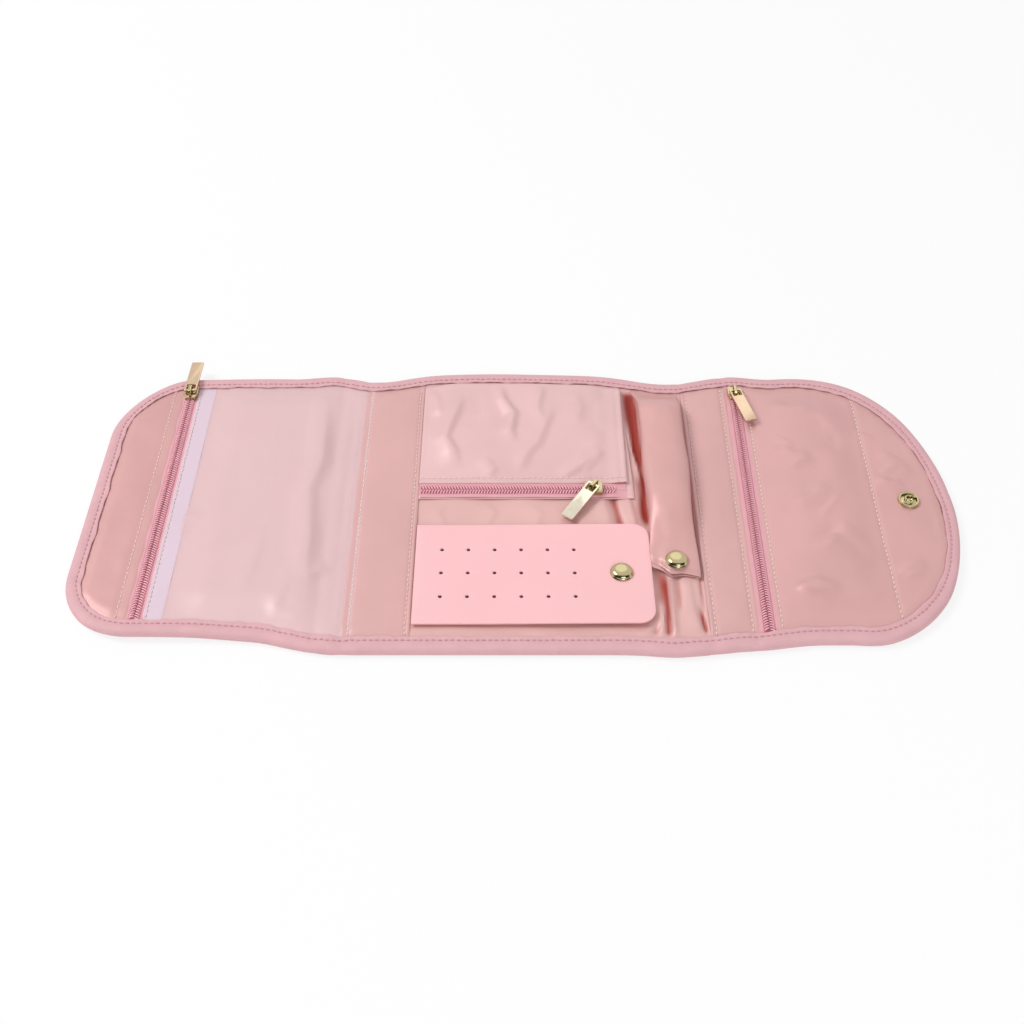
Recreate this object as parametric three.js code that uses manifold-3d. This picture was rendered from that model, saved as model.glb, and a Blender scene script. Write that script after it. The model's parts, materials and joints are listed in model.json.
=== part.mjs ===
// Tri-fold jewelry roll, laid open: padded fabric panels that fold at two soft spines, with a window pocket,
// a zip pouch, a snap-down earring panel, a snap-down ring bar and a rounded closing flap.
// Millimetres, +Z up, +X along the roll towards the closing flap, +Y away from the user.
// The origin is on the underside of the middle panel, midway across the roll.

import * as THREE from "three";
import { mergeVertices } from "three/addons/utils/BufferGeometryUtils.js";
import Module from "manifold-3d";

const wasm = await Module();
wasm.setup();

// Overall size of the open roll
const leftReach = 243.5;
const rightReach = 249;
const rollWidth = 209;
const sideDrawIn = 4.5;
const drawInLength = 32;
const drawInSteps = 8;
const leftCornerRadius = 40;
const flapSideLength = 3;
const flapNearSideLength = 50;
const flapTipY = -8;

// Layers, from the underside up
const fabricThickness = 0.8;
const paddingThickness = 3.6;
const bindingWidth = 9;
const sewnGap = 0.3;

// Folds: each spine is a narrow panel with a crease on both sides
const leftFoldX = -92;
const leftSpineWidth = 15;
const rightFoldX = 100;
const foldClearance = 0.4;

// Zips
const zipTapeWidth = 6;
const zipTapeThickness = 0.6;
const coilWidth = 4.4;
const coilHeight = 1.4;
const coilPitch = 3;
const coilToothDepth = 0.7;
const leftZipInset = 42.5;
const rightZipOffset = 6.6;
const zipEndMargin = 2;

// Zip sliders and pulls
const sliderLength = 10;
const sliderWidth = 8.4;
const sliderNose = 5.6;
const sliderClearance = 0.3;
const sliderPlateThickness = 1.2;
const sliderEndMargin = 5.5;
const crownLength = 7.2;
const crownWidth = 1.8;
const crownBar = 1;
const crownOpening = 2.5;
const pullLength = 28;
const pullWidth = 7.4;
const pullThickness = 1.4;
const pullEyeLength = 4.6;
const pullEyeWidth = 5.4;
const pullBar = 1.3;
const pullCornerRadius = 0.8;
const rightPullSwivel = -14;
const pouchPullSwivel = 36;
const leftPullDroop = 4;
const rightPullDroop = 0;
const pouchPullDroop = 7;
const pullBarGap = 0.1;

// Left panel: window pocket beside its zip
const windowHemWidth = 8;
const filmThickness = 0.4;

// Pockets stand a little open over the lining, drawn in along their sewn edges
const pocketRise = 4.6;
const pocketRim = 14;
const pouchRise = 5.4;
const flapStitchInset = 46;

// Middle panel: seam strip, zip pouch, earring panel and ring bar
const stripWidth = 35;
const pouchRightX = 62;
const pouchFrontY = -1;
const pouchSliderX = 42.5;
const earringRightX = 71.5;
const earringFrontY = -91;
const earringBackY = -22.5;
const earringThickness = 1.2;
const earringLift = 1.4;
const earringCornerRadius = 9;
const earringColumns = 6;
const earringRows = 3;
const earringColumnPitch = 14.4;
const earringRowPitch = 16.2;
const earringFirstHole = 14.5;
const earringHoleRadius = 1;
const earringSnapInset = 16.5;
const ringBarLeftX = 71.3;
const ringBarWidth = 27.4;
const ringBarHeight = 12;
const ringBarEndHeight = 3.4;
const ringBarFrontY = -60;
const ringBarLift = 1.4;
const ringSleeveWall = 0.9;
const ringCoreClearance = 0.4;
const ringTabLength = 23;
const ringSnapInset = 10;
const ringTaperLength = 22;

// Snap fasteners
const snapCapRadius = 6.3;
const snapCapHeight = 2.6;
const snapRim = 0.9;
const snapPostRadius = 1.5;
const snapSocketRadius = 6;
const snapHoleRadius = 2.8;
const snapStudRadius = 2.2;
const snapFlangeRadius = 5;
const snapFlangeThickness = 0.3;
const snapClearance = 0.2;
const closureSnapInset = 28;
const closureSnapY = -3;
const closureRecess = 1;
const closureSocketHeight = 2.7;

// Turning and rounding
const roundSegments = 24;
const holeSegments = 8;
const cornerSegments = 8;
const flapSegments = 40;

// Heights and edges that follow from the sizes above
const halfWidth = rollWidth / 2;
const leftEndX = -leftReach;
const rightEndX = rightReach;
const coverTop = fabricThickness;
const liningBottom = coverTop + paddingThickness;
const liningTop = liningBottom + fabricThickness;
const bindingTop = liningTop + fabricThickness;
const innerY = halfWidth - bindingWidth - sewnGap;
const leftPanelX = leftFoldX - leftSpineWidth;
const rightSpineWidth = leftSpineWidth + bindingTop + pocketRise + foldClearance;
const rightPanelX = rightFoldX + rightSpineWidth;
const rightZipX = rightPanelX + rightZipOffset;
const leftZipX = leftEndX + leftZipInset;
const flapFarX = rightPanelX + drawInLength + flapSideLength;
const flapNearX = rightPanelX + flapNearSideLength;
const flapStitchX = rightEndX - flapStitchInset;
const closureSnapX = rightEndX - closureSnapInset;
const stripRightX = leftFoldX + stripWidth;
const halfGap = sewnGap / 2;
const sideInnerY = innerY - sideDrawIn;
const zipFarY = sideInnerY - sliderEndMargin;

// Fabric and metal finishes
const finishes = {
  binding: { color: 0xdba3ae, roughness: 0.85, metalness: 0 },
  satin: { color: 0xd8a09d, roughness: 0.45, metalness: 0 },
  cover: { color: 0xd69aa4, roughness: 0.8, metalness: 0 },
  padding: { color: 0xf2efe9, roughness: 0.95, metalness: 0 },
  film: { color: 0xe6c6c8, roughness: 0.3, metalness: 0 },
  zipTape: { color: 0xd98a98, roughness: 0.8, metalness: 0 },
  coil: { color: 0xcf6f86, roughness: 0.5, metalness: 0 },
  leatherette: { color: 0xf8c2c4, roughness: 0.5, metalness: 0 },
  gold: { color: 0xd9bb6c, roughness: 0.22, metalness: 1 },
};

const materials = Object.fromEntries(
  Object.entries(finishes).map(([name, finish]) => [name, new THREE.MeshStandardMaterial(finish)]),
);

const roll = new THREE.Group();

function addPiece(name, geometry, finish) {
  const mesh = new THREE.Mesh(geometry, materials[finish]);
  mesh.name = name;
  roll.add(mesh);
  return mesh;
}

// Joining and cutting

function toSolid(geometry) {
  const bare = geometry.index ? geometry.toNonIndexed() : geometry.clone();
  bare.deleteAttribute("normal");
  bare.deleteAttribute("uv");
  const merged = mergeVertices(bare, 1e-4);
  return new wasm.Manifold(
    new wasm.Mesh({
      numProp: 3,
      vertProperties: new Float32Array(merged.attributes.position.array),
      triVerts: new Uint32Array(merged.index.array),
    }),
  );
}

function toGeometry(solid) {
  const mesh = solid.getMesh();
  const geometry = new THREE.BufferGeometry();
  geometry.setAttribute("position", new THREE.BufferAttribute(mesh.vertProperties, 3));
  geometry.setIndex(new THREE.BufferAttribute(mesh.triVerts, 1));
  return geometry;
}

function cut(geometry, ...tools) {
  const cutSolid = tools.reduce((solid, tool) => solid.subtract(toSolid(tool)), toSolid(geometry));
  return toGeometry(cutSolid);
}

function join(...geometries) {
  const joined = geometries.slice(1).reduce((solid, next) => solid.add(toSolid(next)), toSolid(geometries[0]));
  return toGeometry(joined);
}

// Basic forms

function block(x0, x1, y0, y1, z0, z1) {
  const box = new THREE.BoxGeometry(x1 - x0, y1 - y0, z1 - z0);
  return box.translate((x0 + x1) / 2, (y0 + y1) / 2, (z0 + z1) / 2);
}

function slab(shape, z0, z1, curveSegments = cornerSegments) {
  const options = { depth: z1 - z0, bevelEnabled: false, curveSegments };
  return new THREE.ExtrudeGeometry(shape, options).translate(0, 0, z0);
}

function disc(radius, x, y, z0, z1) {
  const cylinder = new THREE.CylinderGeometry(radius, radius, z1 - z0, roundSegments);
  return cylinder.rotateX(Math.PI / 2).translate(x, y, (z0 + z1) / 2);
}

// A turned piece standing on +Z, from [radius, height] pairs.
function turned(profile) {
  const points = profile.map(([radius, height]) => new THREE.Vector2(radius, height));
  return new THREE.LatheGeometry(points, roundSegments).rotateX(Math.PI / 2);
}

// Panel outlines, taken in by an inset, open towards the spine. Past its spine each end panel is drawn in by its zip.

function drawInPoints(foldX, direction, half) {
  return Array.from({ length: drawInSteps + 1 }, (_, i) => {
    const along = i / drawInSteps;
    return [foldX + direction * along * drawInLength, half - sideDrawIn * THREE.MathUtils.smoothstep(along, 0, 1)];
  });
}

function leftOutline(inset, spineX) {
  const half = halfWidth - inset;
  const sideHalf = half - sideDrawIn;
  const end = leftEndX + inset;
  const radius = leftCornerRadius - inset;
  const edge = drawInPoints(leftPanelX - halfGap, -1, half).filter(([x]) => x < spineX);
  const shape = new THREE.Shape();
  shape.moveTo(spineX, -half);
  shape.lineTo(spineX, half);
  edge.forEach(([x, y]) => shape.lineTo(x, y));
  shape.lineTo(end + radius, sideHalf);
  shape.absarc(end + radius, sideHalf - radius, radius, Math.PI / 2, Math.PI, false);
  shape.lineTo(end, -sideHalf + radius);
  shape.absarc(end + radius, -sideHalf + radius, radius, Math.PI, Math.PI * 1.5, false);
  edge.reverse().forEach(([x, y]) => shape.lineTo(x, -y));
  shape.closePath();
  return shape;
}

// The flap is fuller on its near side: its tip lies towards the user, and the near edge runs straight for longer.
function flapRound(inset) {
  const half = halfWidth - inset;
  return Array.from({ length: flapSegments + 1 }, (_, i) => {
    const angle = Math.PI * (i / flapSegments - 0.5);
    const [startX, reach] = angle < 0 ? [flapNearX, half + flapTipY] : [flapFarX, half - sideDrawIn - flapTipY];
    return [startX + (rightEndX - inset - startX) * Math.cos(angle), flapTipY + reach * Math.sin(angle)];
  });
}

function rightOutline(inset, spineX) {
  const half = halfWidth - inset;
  const farEdge = drawInPoints(rightPanelX + halfGap, 1, half).filter(([x]) => x > spineX);
  const shape = new THREE.Shape();
  shape.moveTo(spineX, half);
  shape.lineTo(spineX, -half);
  flapRound(inset).forEach(([x, y]) => shape.lineTo(x, y));
  farEdge.reverse().forEach(([x, y]) => shape.lineTo(x, y));
  shape.closePath();
  return shape;
}

// A folded tape round a panel's edge: both legs and the outer wall, one tape thickness each.
function panelBinding(outline, spineX, beyondSpineX) {
  const whole = slab(outline(0, spineX), 0, bindingTop);
  const channel = slab(outline(fabricThickness, beyondSpineX), coverTop, liningTop);
  const opening = slab(outline(bindingWidth, beyondSpineX), -1, bindingTop + 1);
  return cut(whole, channel, opening);
}

function straightBinding(x0, x1, side) {
  const wall = side * halfWidth;
  const leg = side * (halfWidth - bindingWidth);
  const inside = side * (halfWidth - fabricThickness);
  const [low, high] = [Math.min(wall, leg), Math.max(wall, leg)];
  const whole = block(x0, x1, low, high, 0, bindingTop);
  const [channelLow, channelHigh] = side > 0 ? [low - 1, inside] : [inside, high + 1];
  return cut(whole, block(x0 - 1, x1 + 1, channelLow, channelHigh, coverTop, liningTop));
}

// Cover, padding, lining and edge bindings of the straight-sided panels

function straightPanel(name, x0, x1) {
  const stackY = halfWidth - fabricThickness - sewnGap;
  addPiece(`${name}_cover`, block(x0, x1, -innerY, innerY, 0, coverTop), "cover");
  addPiece(`${name}_padding`, block(x0, x1, -stackY, stackY, coverTop, liningBottom), "padding");
  addPiece(`${name}_lining`, block(x0, x1, -stackY, stackY, liningBottom, liningTop), "satin");
  addPiece(`${name}_binding_front`, straightBinding(x0, x1, -1), "binding");
  addPiece(`${name}_binding_back`, straightBinding(x0, x1, 1), "binding");
}

// Snap fasteners

// The cap's base lies at height 0 and its hollow post reaches down through the cloth.
function snapCap(postLength) {
  return turned([
    [0, -postLength],
    [snapPostRadius, -postLength],
    [snapPostRadius, 0],
    [snapCapRadius - snapRim, 0],
    [snapCapRadius, snapRim / 2],
    [snapCapRadius, snapRim],
    [snapCapRadius * 0.86, snapCapHeight * 0.72],
    [snapCapRadius * 0.5, snapCapHeight * 0.94],
    [0, snapCapHeight],
  ]);
}

function snapSocket(height) {
  const edge = Math.min(height, snapRim) / 2;
  return turned([
    [snapHoleRadius, 0],
    [snapSocketRadius - edge, 0],
    [snapSocketRadius, edge],
    [snapSocketRadius, height],
    [snapHoleRadius, height],
    [snapHoleRadius, 0],
  ]);
}

function snapStud(flangeThickness, postHeight) {
  return turned([
    [0, 0],
    [snapFlangeRadius, 0],
    [snapFlangeRadius, flangeThickness],
    [snapStudRadius, flangeThickness],
    [snapStudRadius, flangeThickness + postHeight * 0.7],
    [snapStudRadius * 0.7, flangeThickness + postHeight],
    [0, flangeThickness + postHeight],
  ]);
}

// Zips: the chain runs along local Y, and its tape lies at local height 0

function zipTape(side, length) {
  const [near, far] = [side * halfGap, side * zipTapeWidth];
  return block(Math.min(near, far), Math.max(near, far), -length / 2, length / 2, 0, zipTapeThickness);
}

function zipCoil(length) {
  const teeth = Math.floor(length / coilPitch);
  const half = coilWidth / 2;
  const start = (-teeth * coilPitch) / 2;
  const shape = new THREE.Shape();
  const edge = [];
  for (let tooth = 0; tooth < teeth; tooth += 1) {
    const y = start + tooth * coilPitch;
    edge.push([half - coilToothDepth, y], [half, y + coilPitch / 2]);
  }
  edge.forEach(([x, y], i) => (i ? shape.lineTo(x, y) : shape.moveTo(x, y)));
  edge.reverse().forEach(([x, y]) => shape.lineTo(-x, y));
  shape.closePath();
  return slab(shape, zipTapeThickness, zipTapeThickness + coilHeight);
}

const sliderPlateBottom = zipTapeThickness + coilHeight + sliderClearance;
const sliderPlateTop = sliderPlateBottom + sliderPlateThickness;
const pullBarReach = Math.hypot(pullBar, pullThickness) / 2;
const pullAxisHeight = sliderPlateTop + crownOpening - pullBarReach - pullBarGap;

// The crown is the loop the pull hangs in; on the pouch it is turned towards the opening edge.
function zipSlider(crownTurn) {
  const half = sliderLength / 2;
  const outline = new THREE.Shape();
  outline.moveTo(-sliderNose / 2, -half);
  outline.lineTo(sliderNose / 2, -half);
  outline.lineTo(sliderWidth / 2, -half / 4);
  outline.lineTo(sliderWidth / 2, half);
  outline.lineTo(-sliderWidth / 2, half);
  outline.lineTo(-sliderWidth / 2, -half / 4);
  outline.closePath();
  const body = slab(outline, zipTapeThickness + sliderClearance, sliderPlateTop);
  const channelHalf = coilWidth / 2 + sliderClearance;
  const channel = block(-channelHalf, channelHalf, -sliderLength, sliderLength, 0, sliderPlateBottom);
  const reach = crownLength / 2;
  const crown = new THREE.Shape();
  crown.moveTo(-reach, -crownBar / 2);
  crown.lineTo(-reach, crownOpening);
  crown.lineTo(-reach + crownBar, crownOpening + crownBar);
  crown.lineTo(reach - crownBar, crownOpening + crownBar);
  crown.lineTo(reach, crownOpening);
  crown.lineTo(reach, -crownBar / 2);
  crown.lineTo(reach - crownBar, -crownBar / 2);
  crown.lineTo(reach - crownBar, crownOpening);
  crown.lineTo(-reach + crownBar, crownOpening);
  crown.lineTo(-reach + crownBar, -crownBar / 2);
  crown.closePath();
  const arch = slab(crown, -crownWidth / 2, crownWidth / 2);
  arch.rotateX(Math.PI / 2).rotateZ(Math.PI / 2 + crownTurn).translate(0, 0, sliderPlateTop);
  return join(cut(body, channel), arch);
}

// The pull hangs on its cross bar at the local origin and reaches out along +Y.
function zipPull() {
  const half = pullWidth / 2;
  const base = -pullBar / 2;
  const tip = base + pullLength;
  const r = pullCornerRadius;
  const shape = new THREE.Shape();
  shape.moveTo(-half, base);
  shape.lineTo(half, base);
  shape.lineTo(half, tip - r);
  shape.absarc(half - r, tip - r, r, 0, Math.PI / 2, false);
  shape.lineTo(-half + r, tip);
  shape.absarc(-half + r, tip - r, r, Math.PI / 2, Math.PI, false);
  shape.closePath();
  const eye = new THREE.Path();
  const eyeHalf = pullEyeWidth / 2;
  eye.moveTo(-eyeHalf, pullBar / 2);
  eye.lineTo(-eyeHalf, pullBar / 2 + pullEyeLength);
  eye.lineTo(eyeHalf, pullBar / 2 + pullEyeLength);
  eye.lineTo(eyeHalf, pullBar / 2);
  eye.closePath();
  shape.holes.push(eye);
  return slab(shape, -pullThickness / 2, pullThickness / 2, 4);
}

// A zip of tapes, coil, slider and pull. The zip's own +Y turns by angle from the roll's +Y.
function addZip({ name, x, y, angle, length, height, sliderAt, pullTurn, pullDroop, crownTurn = 0 }) {
  const zip = new THREE.Group();
  zip.position.set(x, y, height);
  zip.rotation.z = angle;
  roll.add(zip);
  zip.add(addPiece(`${name}_zip_tape_outer`, zipTape(-1, length), "zipTape"));
  zip.add(addPiece(`${name}_zip_tape_inner`, zipTape(1, length), "zipTape"));
  zip.add(addPiece(`${name}_zip_coil`, zipCoil(length), "coil"));
  const slider = addPiece(`${name}_slider`, zipSlider(crownTurn), "gold");
  slider.position.set(0, sliderAt, 0);
  zip.add(slider);
  const pull = addPiece(`${name}_pull`, zipPull(), "gold");
  pull.position.set(0, sliderAt, pullAxisHeight);
  pull.rotation.order = "ZYX";
  pull.rotation.z = pullTurn;
  pull.rotation.x = -THREE.MathUtils.degToRad(pullDroop);
  zip.add(pull);
}

// Middle panel, which lies on the table

function addMiddlePanel() {
  const [x0, x1] = [leftFoldX + halfGap, rightFoldX - halfGap];
  straightPanel("middle", x0, x1);
  const strip = block(x0, stripRightX, -innerY, innerY, liningTop, bindingTop);
  addPiece("seam_strip", strip, "satin");
}

// A sewn-down sheet that stands open in its middle. Its near and far edges are given along X.
function pocketSheet({ x0, x1, nearY, farY, z0, thickness, rise }) {
  const offsets = [0, pocketRim / 3, (2 * pocketRim) / 3, pocketRim];
  const stations = (length) => [...offsets, ...offsets.map((d) => length - d).reverse()];
  const lift = (distance) => THREE.MathUtils.smoothstep(distance, 0, pocketRim);
  const along = stations(x1 - x0);
  const across = (x) => stations(farY(x) - nearY(x));
  const size = along.length;
  const positions = [];
  const faces = [];
  for (const layerHeight of [thickness, 0]) {
    for (const dx of along) {
      const x = x0 + dx;
      const width = farY(x) - nearY(x);
      for (const dy of across(x)) {
        const edge = lift(Math.min(dx, x1 - x0 - dx)) * lift(Math.min(dy, width - dy));
        positions.push(x, nearY(x) + dy, z0 + layerHeight + rise * edge);
      }
    }
  }
  const layer = size * size;
  const at = (column, row) => column * size + row;
  for (let column = 0; column + 1 < size; column += 1) {
    for (let row = 0; row + 1 < size; row += 1) {
      const [a, b] = [at(column, row), at(column + 1, row)];
      const [c, d] = [at(column + 1, row + 1), at(column, row + 1)];
      faces.push(a, b, c, a, c, d);
      faces.push(layer + a, layer + c, layer + b, layer + a, layer + d, layer + c);
    }
  }
  const last = size - 1;
  const rim = [];
  for (let column = 0; column < last; column += 1) rim.push(at(column, 0));
  for (let row = 0; row < last; row += 1) rim.push(at(last, row));
  for (let column = last; column > 0; column -= 1) rim.push(at(column, last));
  for (let row = last; row > 0; row -= 1) rim.push(at(0, row));
  rim.forEach((a, i) => {
    const b = rim[(i + 1) % rim.length];
    faces.push(layer + a, layer + b, b, layer + a, b, a);
  });
  const geometry = new THREE.BufferGeometry();
  geometry.setAttribute("position", new THREE.Float32BufferAttribute(positions, 3));
  geometry.setIndex(faces);
  return geometry;
}

// Zip pouch, sewn in along the far edge and the seam strip

function addPouch() {
  const x0 = stripRightX + sewnGap;
  const backTop = liningTop + fabricThickness;
  const zipY = pouchFrontY + zipTapeWidth + halfGap;
  const padY = zipY + zipTapeWidth + sewnGap;
  const length = pouchRightX - x0 - 2 * zipEndMargin;
  const middleX = (x0 + pouchRightX) / 2;
  addPiece("pouch_back", block(x0, pouchRightX, pouchFrontY, innerY, liningTop, backTop), "satin");
  const front = pocketSheet({
    x0,
    x1: pouchRightX,
    nearY: () => padY,
    farY: () => innerY,
    z0: backTop,
    thickness: fabricThickness,
    rise: pouchRise,
  });
  addPiece("pouch_front", front, "satin");
  addZip({
    name: "pouch",
    x: middleX,
    y: zipY,
    angle: -Math.PI / 2,
    length,
    height: backTop,
    sliderAt: pouchSliderX - middleX,
    pullTurn: THREE.MathUtils.degToRad(-90 - pouchPullSwivel),
    pullDroop: pouchPullDroop,
    crownTurn: THREE.MathUtils.degToRad(-90 - pouchPullSwivel),
  });
}

// Earring panel, hinged in the seam strip and held down by a snap

const earringBottom = liningTop + earringLift;
const earringTop = earringBottom + earringThickness;
const earringLeftX = stripRightX + sewnGap;
const earringMiddleY = (earringFrontY + earringBackY) / 2;
const earringSnapX = earringRightX - earringSnapInset;

function addEarringPanel() {
  const r = earringCornerRadius;
  const shape = new THREE.Shape();
  shape.moveTo(earringLeftX, earringFrontY);
  shape.lineTo(earringRightX - r, earringFrontY);
  shape.absarc(earringRightX - r, earringFrontY + r, r, -Math.PI / 2, 0, false);
  shape.lineTo(earringRightX, earringBackY - r);
  shape.absarc(earringRightX - r, earringBackY - r, r, 0, Math.PI / 2, false);
  shape.lineTo(earringLeftX, earringBackY);
  shape.closePath();
  const addHole = (x, y, radius) => {
    const hole = new THREE.Path();
    for (let i = 0; i < holeSegments; i += 1) {
      const angle = (-2 * Math.PI * i) / holeSegments;
      const point = [x + radius * Math.cos(angle), y + radius * Math.sin(angle)];
      if (i) hole.lineTo(...point);
      else hole.moveTo(...point);
    }
    hole.closePath();
    shape.holes.push(hole);
  };
  for (let column = 0; column < earringColumns; column += 1) {
    for (let row = 0; row < earringRows; row += 1) {
      const x = earringLeftX + earringFirstHole + column * earringColumnPitch;
      const y = earringMiddleY + (row - (earringRows - 1) / 2) * earringRowPitch;
      addHole(x, y, earringHoleRadius);
    }
  }
  addHole(earringSnapX, earringMiddleY, snapPostRadius + 2 * snapClearance);
  addPiece("earring_panel", slab(shape, earringBottom, earringTop), "leatherette");
  addSnap("earring", earringSnapX, earringMiddleY, earringBottom, earringTop);
}

// Cap above the held-down cloth, socket below it, and the stud on the lining.
function addSnap(name, x, y, clothBottom, clothTop) {
  const flangeTop = liningTop + snapFlangeThickness;
  const socketBottom = flangeTop + snapClearance;
  const cap = addPiece(`${name}_snap_cap`, snapCap(clothTop - clothBottom), "gold");
  cap.position.set(x, y, clothTop);
  const socket = addPiece(`${name}_snap_socket`, snapSocket(clothBottom - socketBottom), "gold");
  socket.position.set(x, y, socketBottom);
  const stud = addPiece(`${name}_snap_stud`, snapStud(snapFlangeThickness, clothBottom - flangeTop), "gold");
  stud.position.set(x, y, liningTop);
  stud.scale.z = 1 - snapClearance / (clothBottom - liningTop);
}

// Ring bar: a soft sleeve over a stuffed core, hinged at the far binding and snapped at its near end

// A closed loft along Y through rounded sections given as { y, width, height, base }.
function softLoft(centreX, sections) {
  const around = 16;
  const roundness = 0.75;
  const positions = [];
  const faces = [];
  const bend = (value) => Math.sign(value) * Math.abs(value) ** roundness;
  sections.forEach(({ y, width, height, base }) => {
    for (let i = 0; i < around; i += 1) {
      const angle = (2 * Math.PI * i) / around;
      const x = centreX + (width / 2) * bend(Math.cos(angle));
      positions.push(x, y, base + (height / 2) * (1 + bend(Math.sin(angle))));
    }
  });
  for (let ring = 0; ring + 1 < sections.length; ring += 1) {
    for (let i = 0; i < around; i += 1) {
      const next = (i + 1) % around;
      const [a, b] = [ring * around + i, ring * around + next];
      const [c, d] = [a + around, b + around];
      faces.push(a, b, d, a, d, c);
    }
  }
  const last = (sections.length - 1) * around;
  for (let i = 1; i + 1 < around; i += 1) {
    faces.push(0, i + 1, i);
    faces.push(last, last + i, last + i + 1);
  }
  const geometry = new THREE.BufferGeometry();
  geometry.setAttribute("position", new THREE.Float32BufferAttribute(positions, 3));
  geometry.setIndex(faces);
  return geometry;
}

const ringStations = 14;

// The bar's height along its length: flat at the snapped tab, full over the core, drawn in at the far binding.
function ringHeightAt(y) {
  const barStart = ringBarFrontY + ringTabLength;
  const near = THREE.MathUtils.smoothstep(y, barStart, barStart + ringTaperLength);
  const far = 1 - THREE.MathUtils.smoothstep(y, innerY - ringTaperLength, innerY);
  return ringBarEndHeight + (ringBarHeight - ringBarEndHeight) * near * far;
}

// Sections between the two ends, all on the same stations so that the sleeve, its hollow and the core stay parallel.
function ringSections(inset, nearY, farY) {
  const step = (innerY - ringBarFrontY) / ringStations;
  const stations = Array.from({ length: ringStations + 1 }, (_, i) => innerY - i * step);
  const inside = stations.filter((y) => y > nearY && y < farY);
  const steppedHeight = (y) => {
    const along = THREE.MathUtils.clamp((innerY - y) / step, 0, ringStations);
    const first = Math.min(Math.floor(along), ringStations - 1);
    const [start, end] = [ringHeightAt(stations[first]), ringHeightAt(stations[first + 1])];
    return THREE.MathUtils.lerp(start, end, along - first);
  };
  return [farY, ...inside, nearY].map((y) => ({
    y,
    width: ringBarWidth - 2 * inset,
    height: steppedHeight(y) - 2 * inset,
    base: liningTop + ringBarLift + inset,
  }));
}

function addRingBar() {
  const centreX = ringBarLeftX + ringBarWidth / 2;
  const wall = ringSleeveWall;
  const outside = softLoft(centreX, ringSections(0, ringBarFrontY, innerY));
  const hollow = softLoft(centreX, ringSections(wall, ringBarFrontY - wall, innerY - wall));
  const snapY = ringBarFrontY + ringSnapInset;
  const base = liningTop + ringBarLift;
  const tabTop = base + ringBarEndHeight;
  const postHole = disc(snapPostRadius + snapClearance, centreX, snapY, base - 1, tabTop + 1);
  addPiece("ring_bar_sleeve", cut(outside, hollow, postHole), "satin");
  const coreInset = wall + ringCoreClearance;
  const coreNear = ringBarFrontY + ringTabLength;
  const core = softLoft(centreX, ringSections(coreInset, coreNear, innerY - coreInset));
  addPiece("ring_bar_core", core, "padding");
  addSnap("ring", centreX, snapY, base, tabTop);
}

// Spines between the panels

function addSpines() {
  const [x0, x1] = [leftPanelX + halfGap, leftFoldX - halfGap];
  straightPanel("left_spine", x0, x1);
  addPiece("window_film_edge", block(x0, x1, -sideInnerY, sideInnerY, liningTop, liningTop + filmThickness), "film");
  straightPanel("right_spine", rightFoldX + halfGap, rightPanelX - halfGap);
}

// Closure snap: its stud is set in the left panel's cover where the flap's socket lands when both sides are folded

const closureReach = closureSnapX - rightPanelX;
const closureStudX = leftPanelX - (rightFoldX - closureReach - leftFoldX);
const recessRadius = snapSocketRadius + snapClearance * 2;
const recessTop = coverTop + closureRecess;
const capRecessTop = coverTop + snapCapHeight;

// Left panel: end strip, zip and window pocket

function addLeftPanel() {
  const spineX = leftPanelX - halfGap;
  const stackInset = fabricThickness + sewnGap;
  const innerInset = bindingWidth + sewnGap;
  const flangeTop = recessTop + fabricThickness;
  const coverHole = disc(recessRadius, closureStudX, closureSnapY, -1, coverTop + 1);
  const paddingHole = disc(recessRadius, closureStudX, closureSnapY, coverTop - 1, flangeTop);
  addPiece("left_cover", cut(slab(leftOutline(innerInset, spineX), 0, coverTop), coverHole), "cover");
  const padding = slab(leftOutline(stackInset, spineX), coverTop, liningBottom);
  addPiece("left_padding", cut(padding, paddingHole), "padding");
  addPiece("left_lining", slab(leftOutline(stackInset, spineX), liningBottom, liningTop), "satin");
  addPiece("left_binding", panelBinding(leftOutline, spineX, spineX + 1), "binding");

  const stripEdge = leftZipX - zipTapeWidth - sewnGap;
  const beyond = block(stripEdge, 0, -rollWidth, rollWidth, -1, bindingTop + 1);
  const strip = slab(leftOutline(innerInset, spineX), liningTop, bindingTop);
  addPiece("left_end_strip", cut(strip, beyond), "satin");
  addZip({
    name: "left",
    x: leftZipX,
    y: 0,
    angle: 0,
    length: 2 * sideInnerY - 2 * zipEndMargin,
    height: liningTop,
    sliderAt: zipFarY,
    pullTurn: 0,
    pullDroop: leftPullDroop,
  });
  const hemX = leftZipX + zipTapeWidth + sewnGap;
  const filmX = hemX + windowHemWidth + sewnGap;
  addPiece("window_hem", block(hemX, hemX + windowHemWidth, -sideInnerY, sideInnerY, liningTop, bindingTop), "film");
  const film = pocketSheet({
    x0: filmX,
    x1: spineX,
    nearY: () => -sideInnerY,
    farY: () => sideInnerY,
    z0: liningTop,
    thickness: filmThickness,
    rise: pocketRise,
  });
  addPiece("window_film", film, "film");

  const postHeight = recessTop - snapClearance / 2;
  const stud = addPiece("closure_snap_stud", snapStud(fabricThickness, postHeight), "gold");
  stud.position.set(closureStudX, closureSnapY, flangeTop);
  stud.rotation.x = Math.PI;
}

// Right panel: zip pocket and the rounded closing flap

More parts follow.
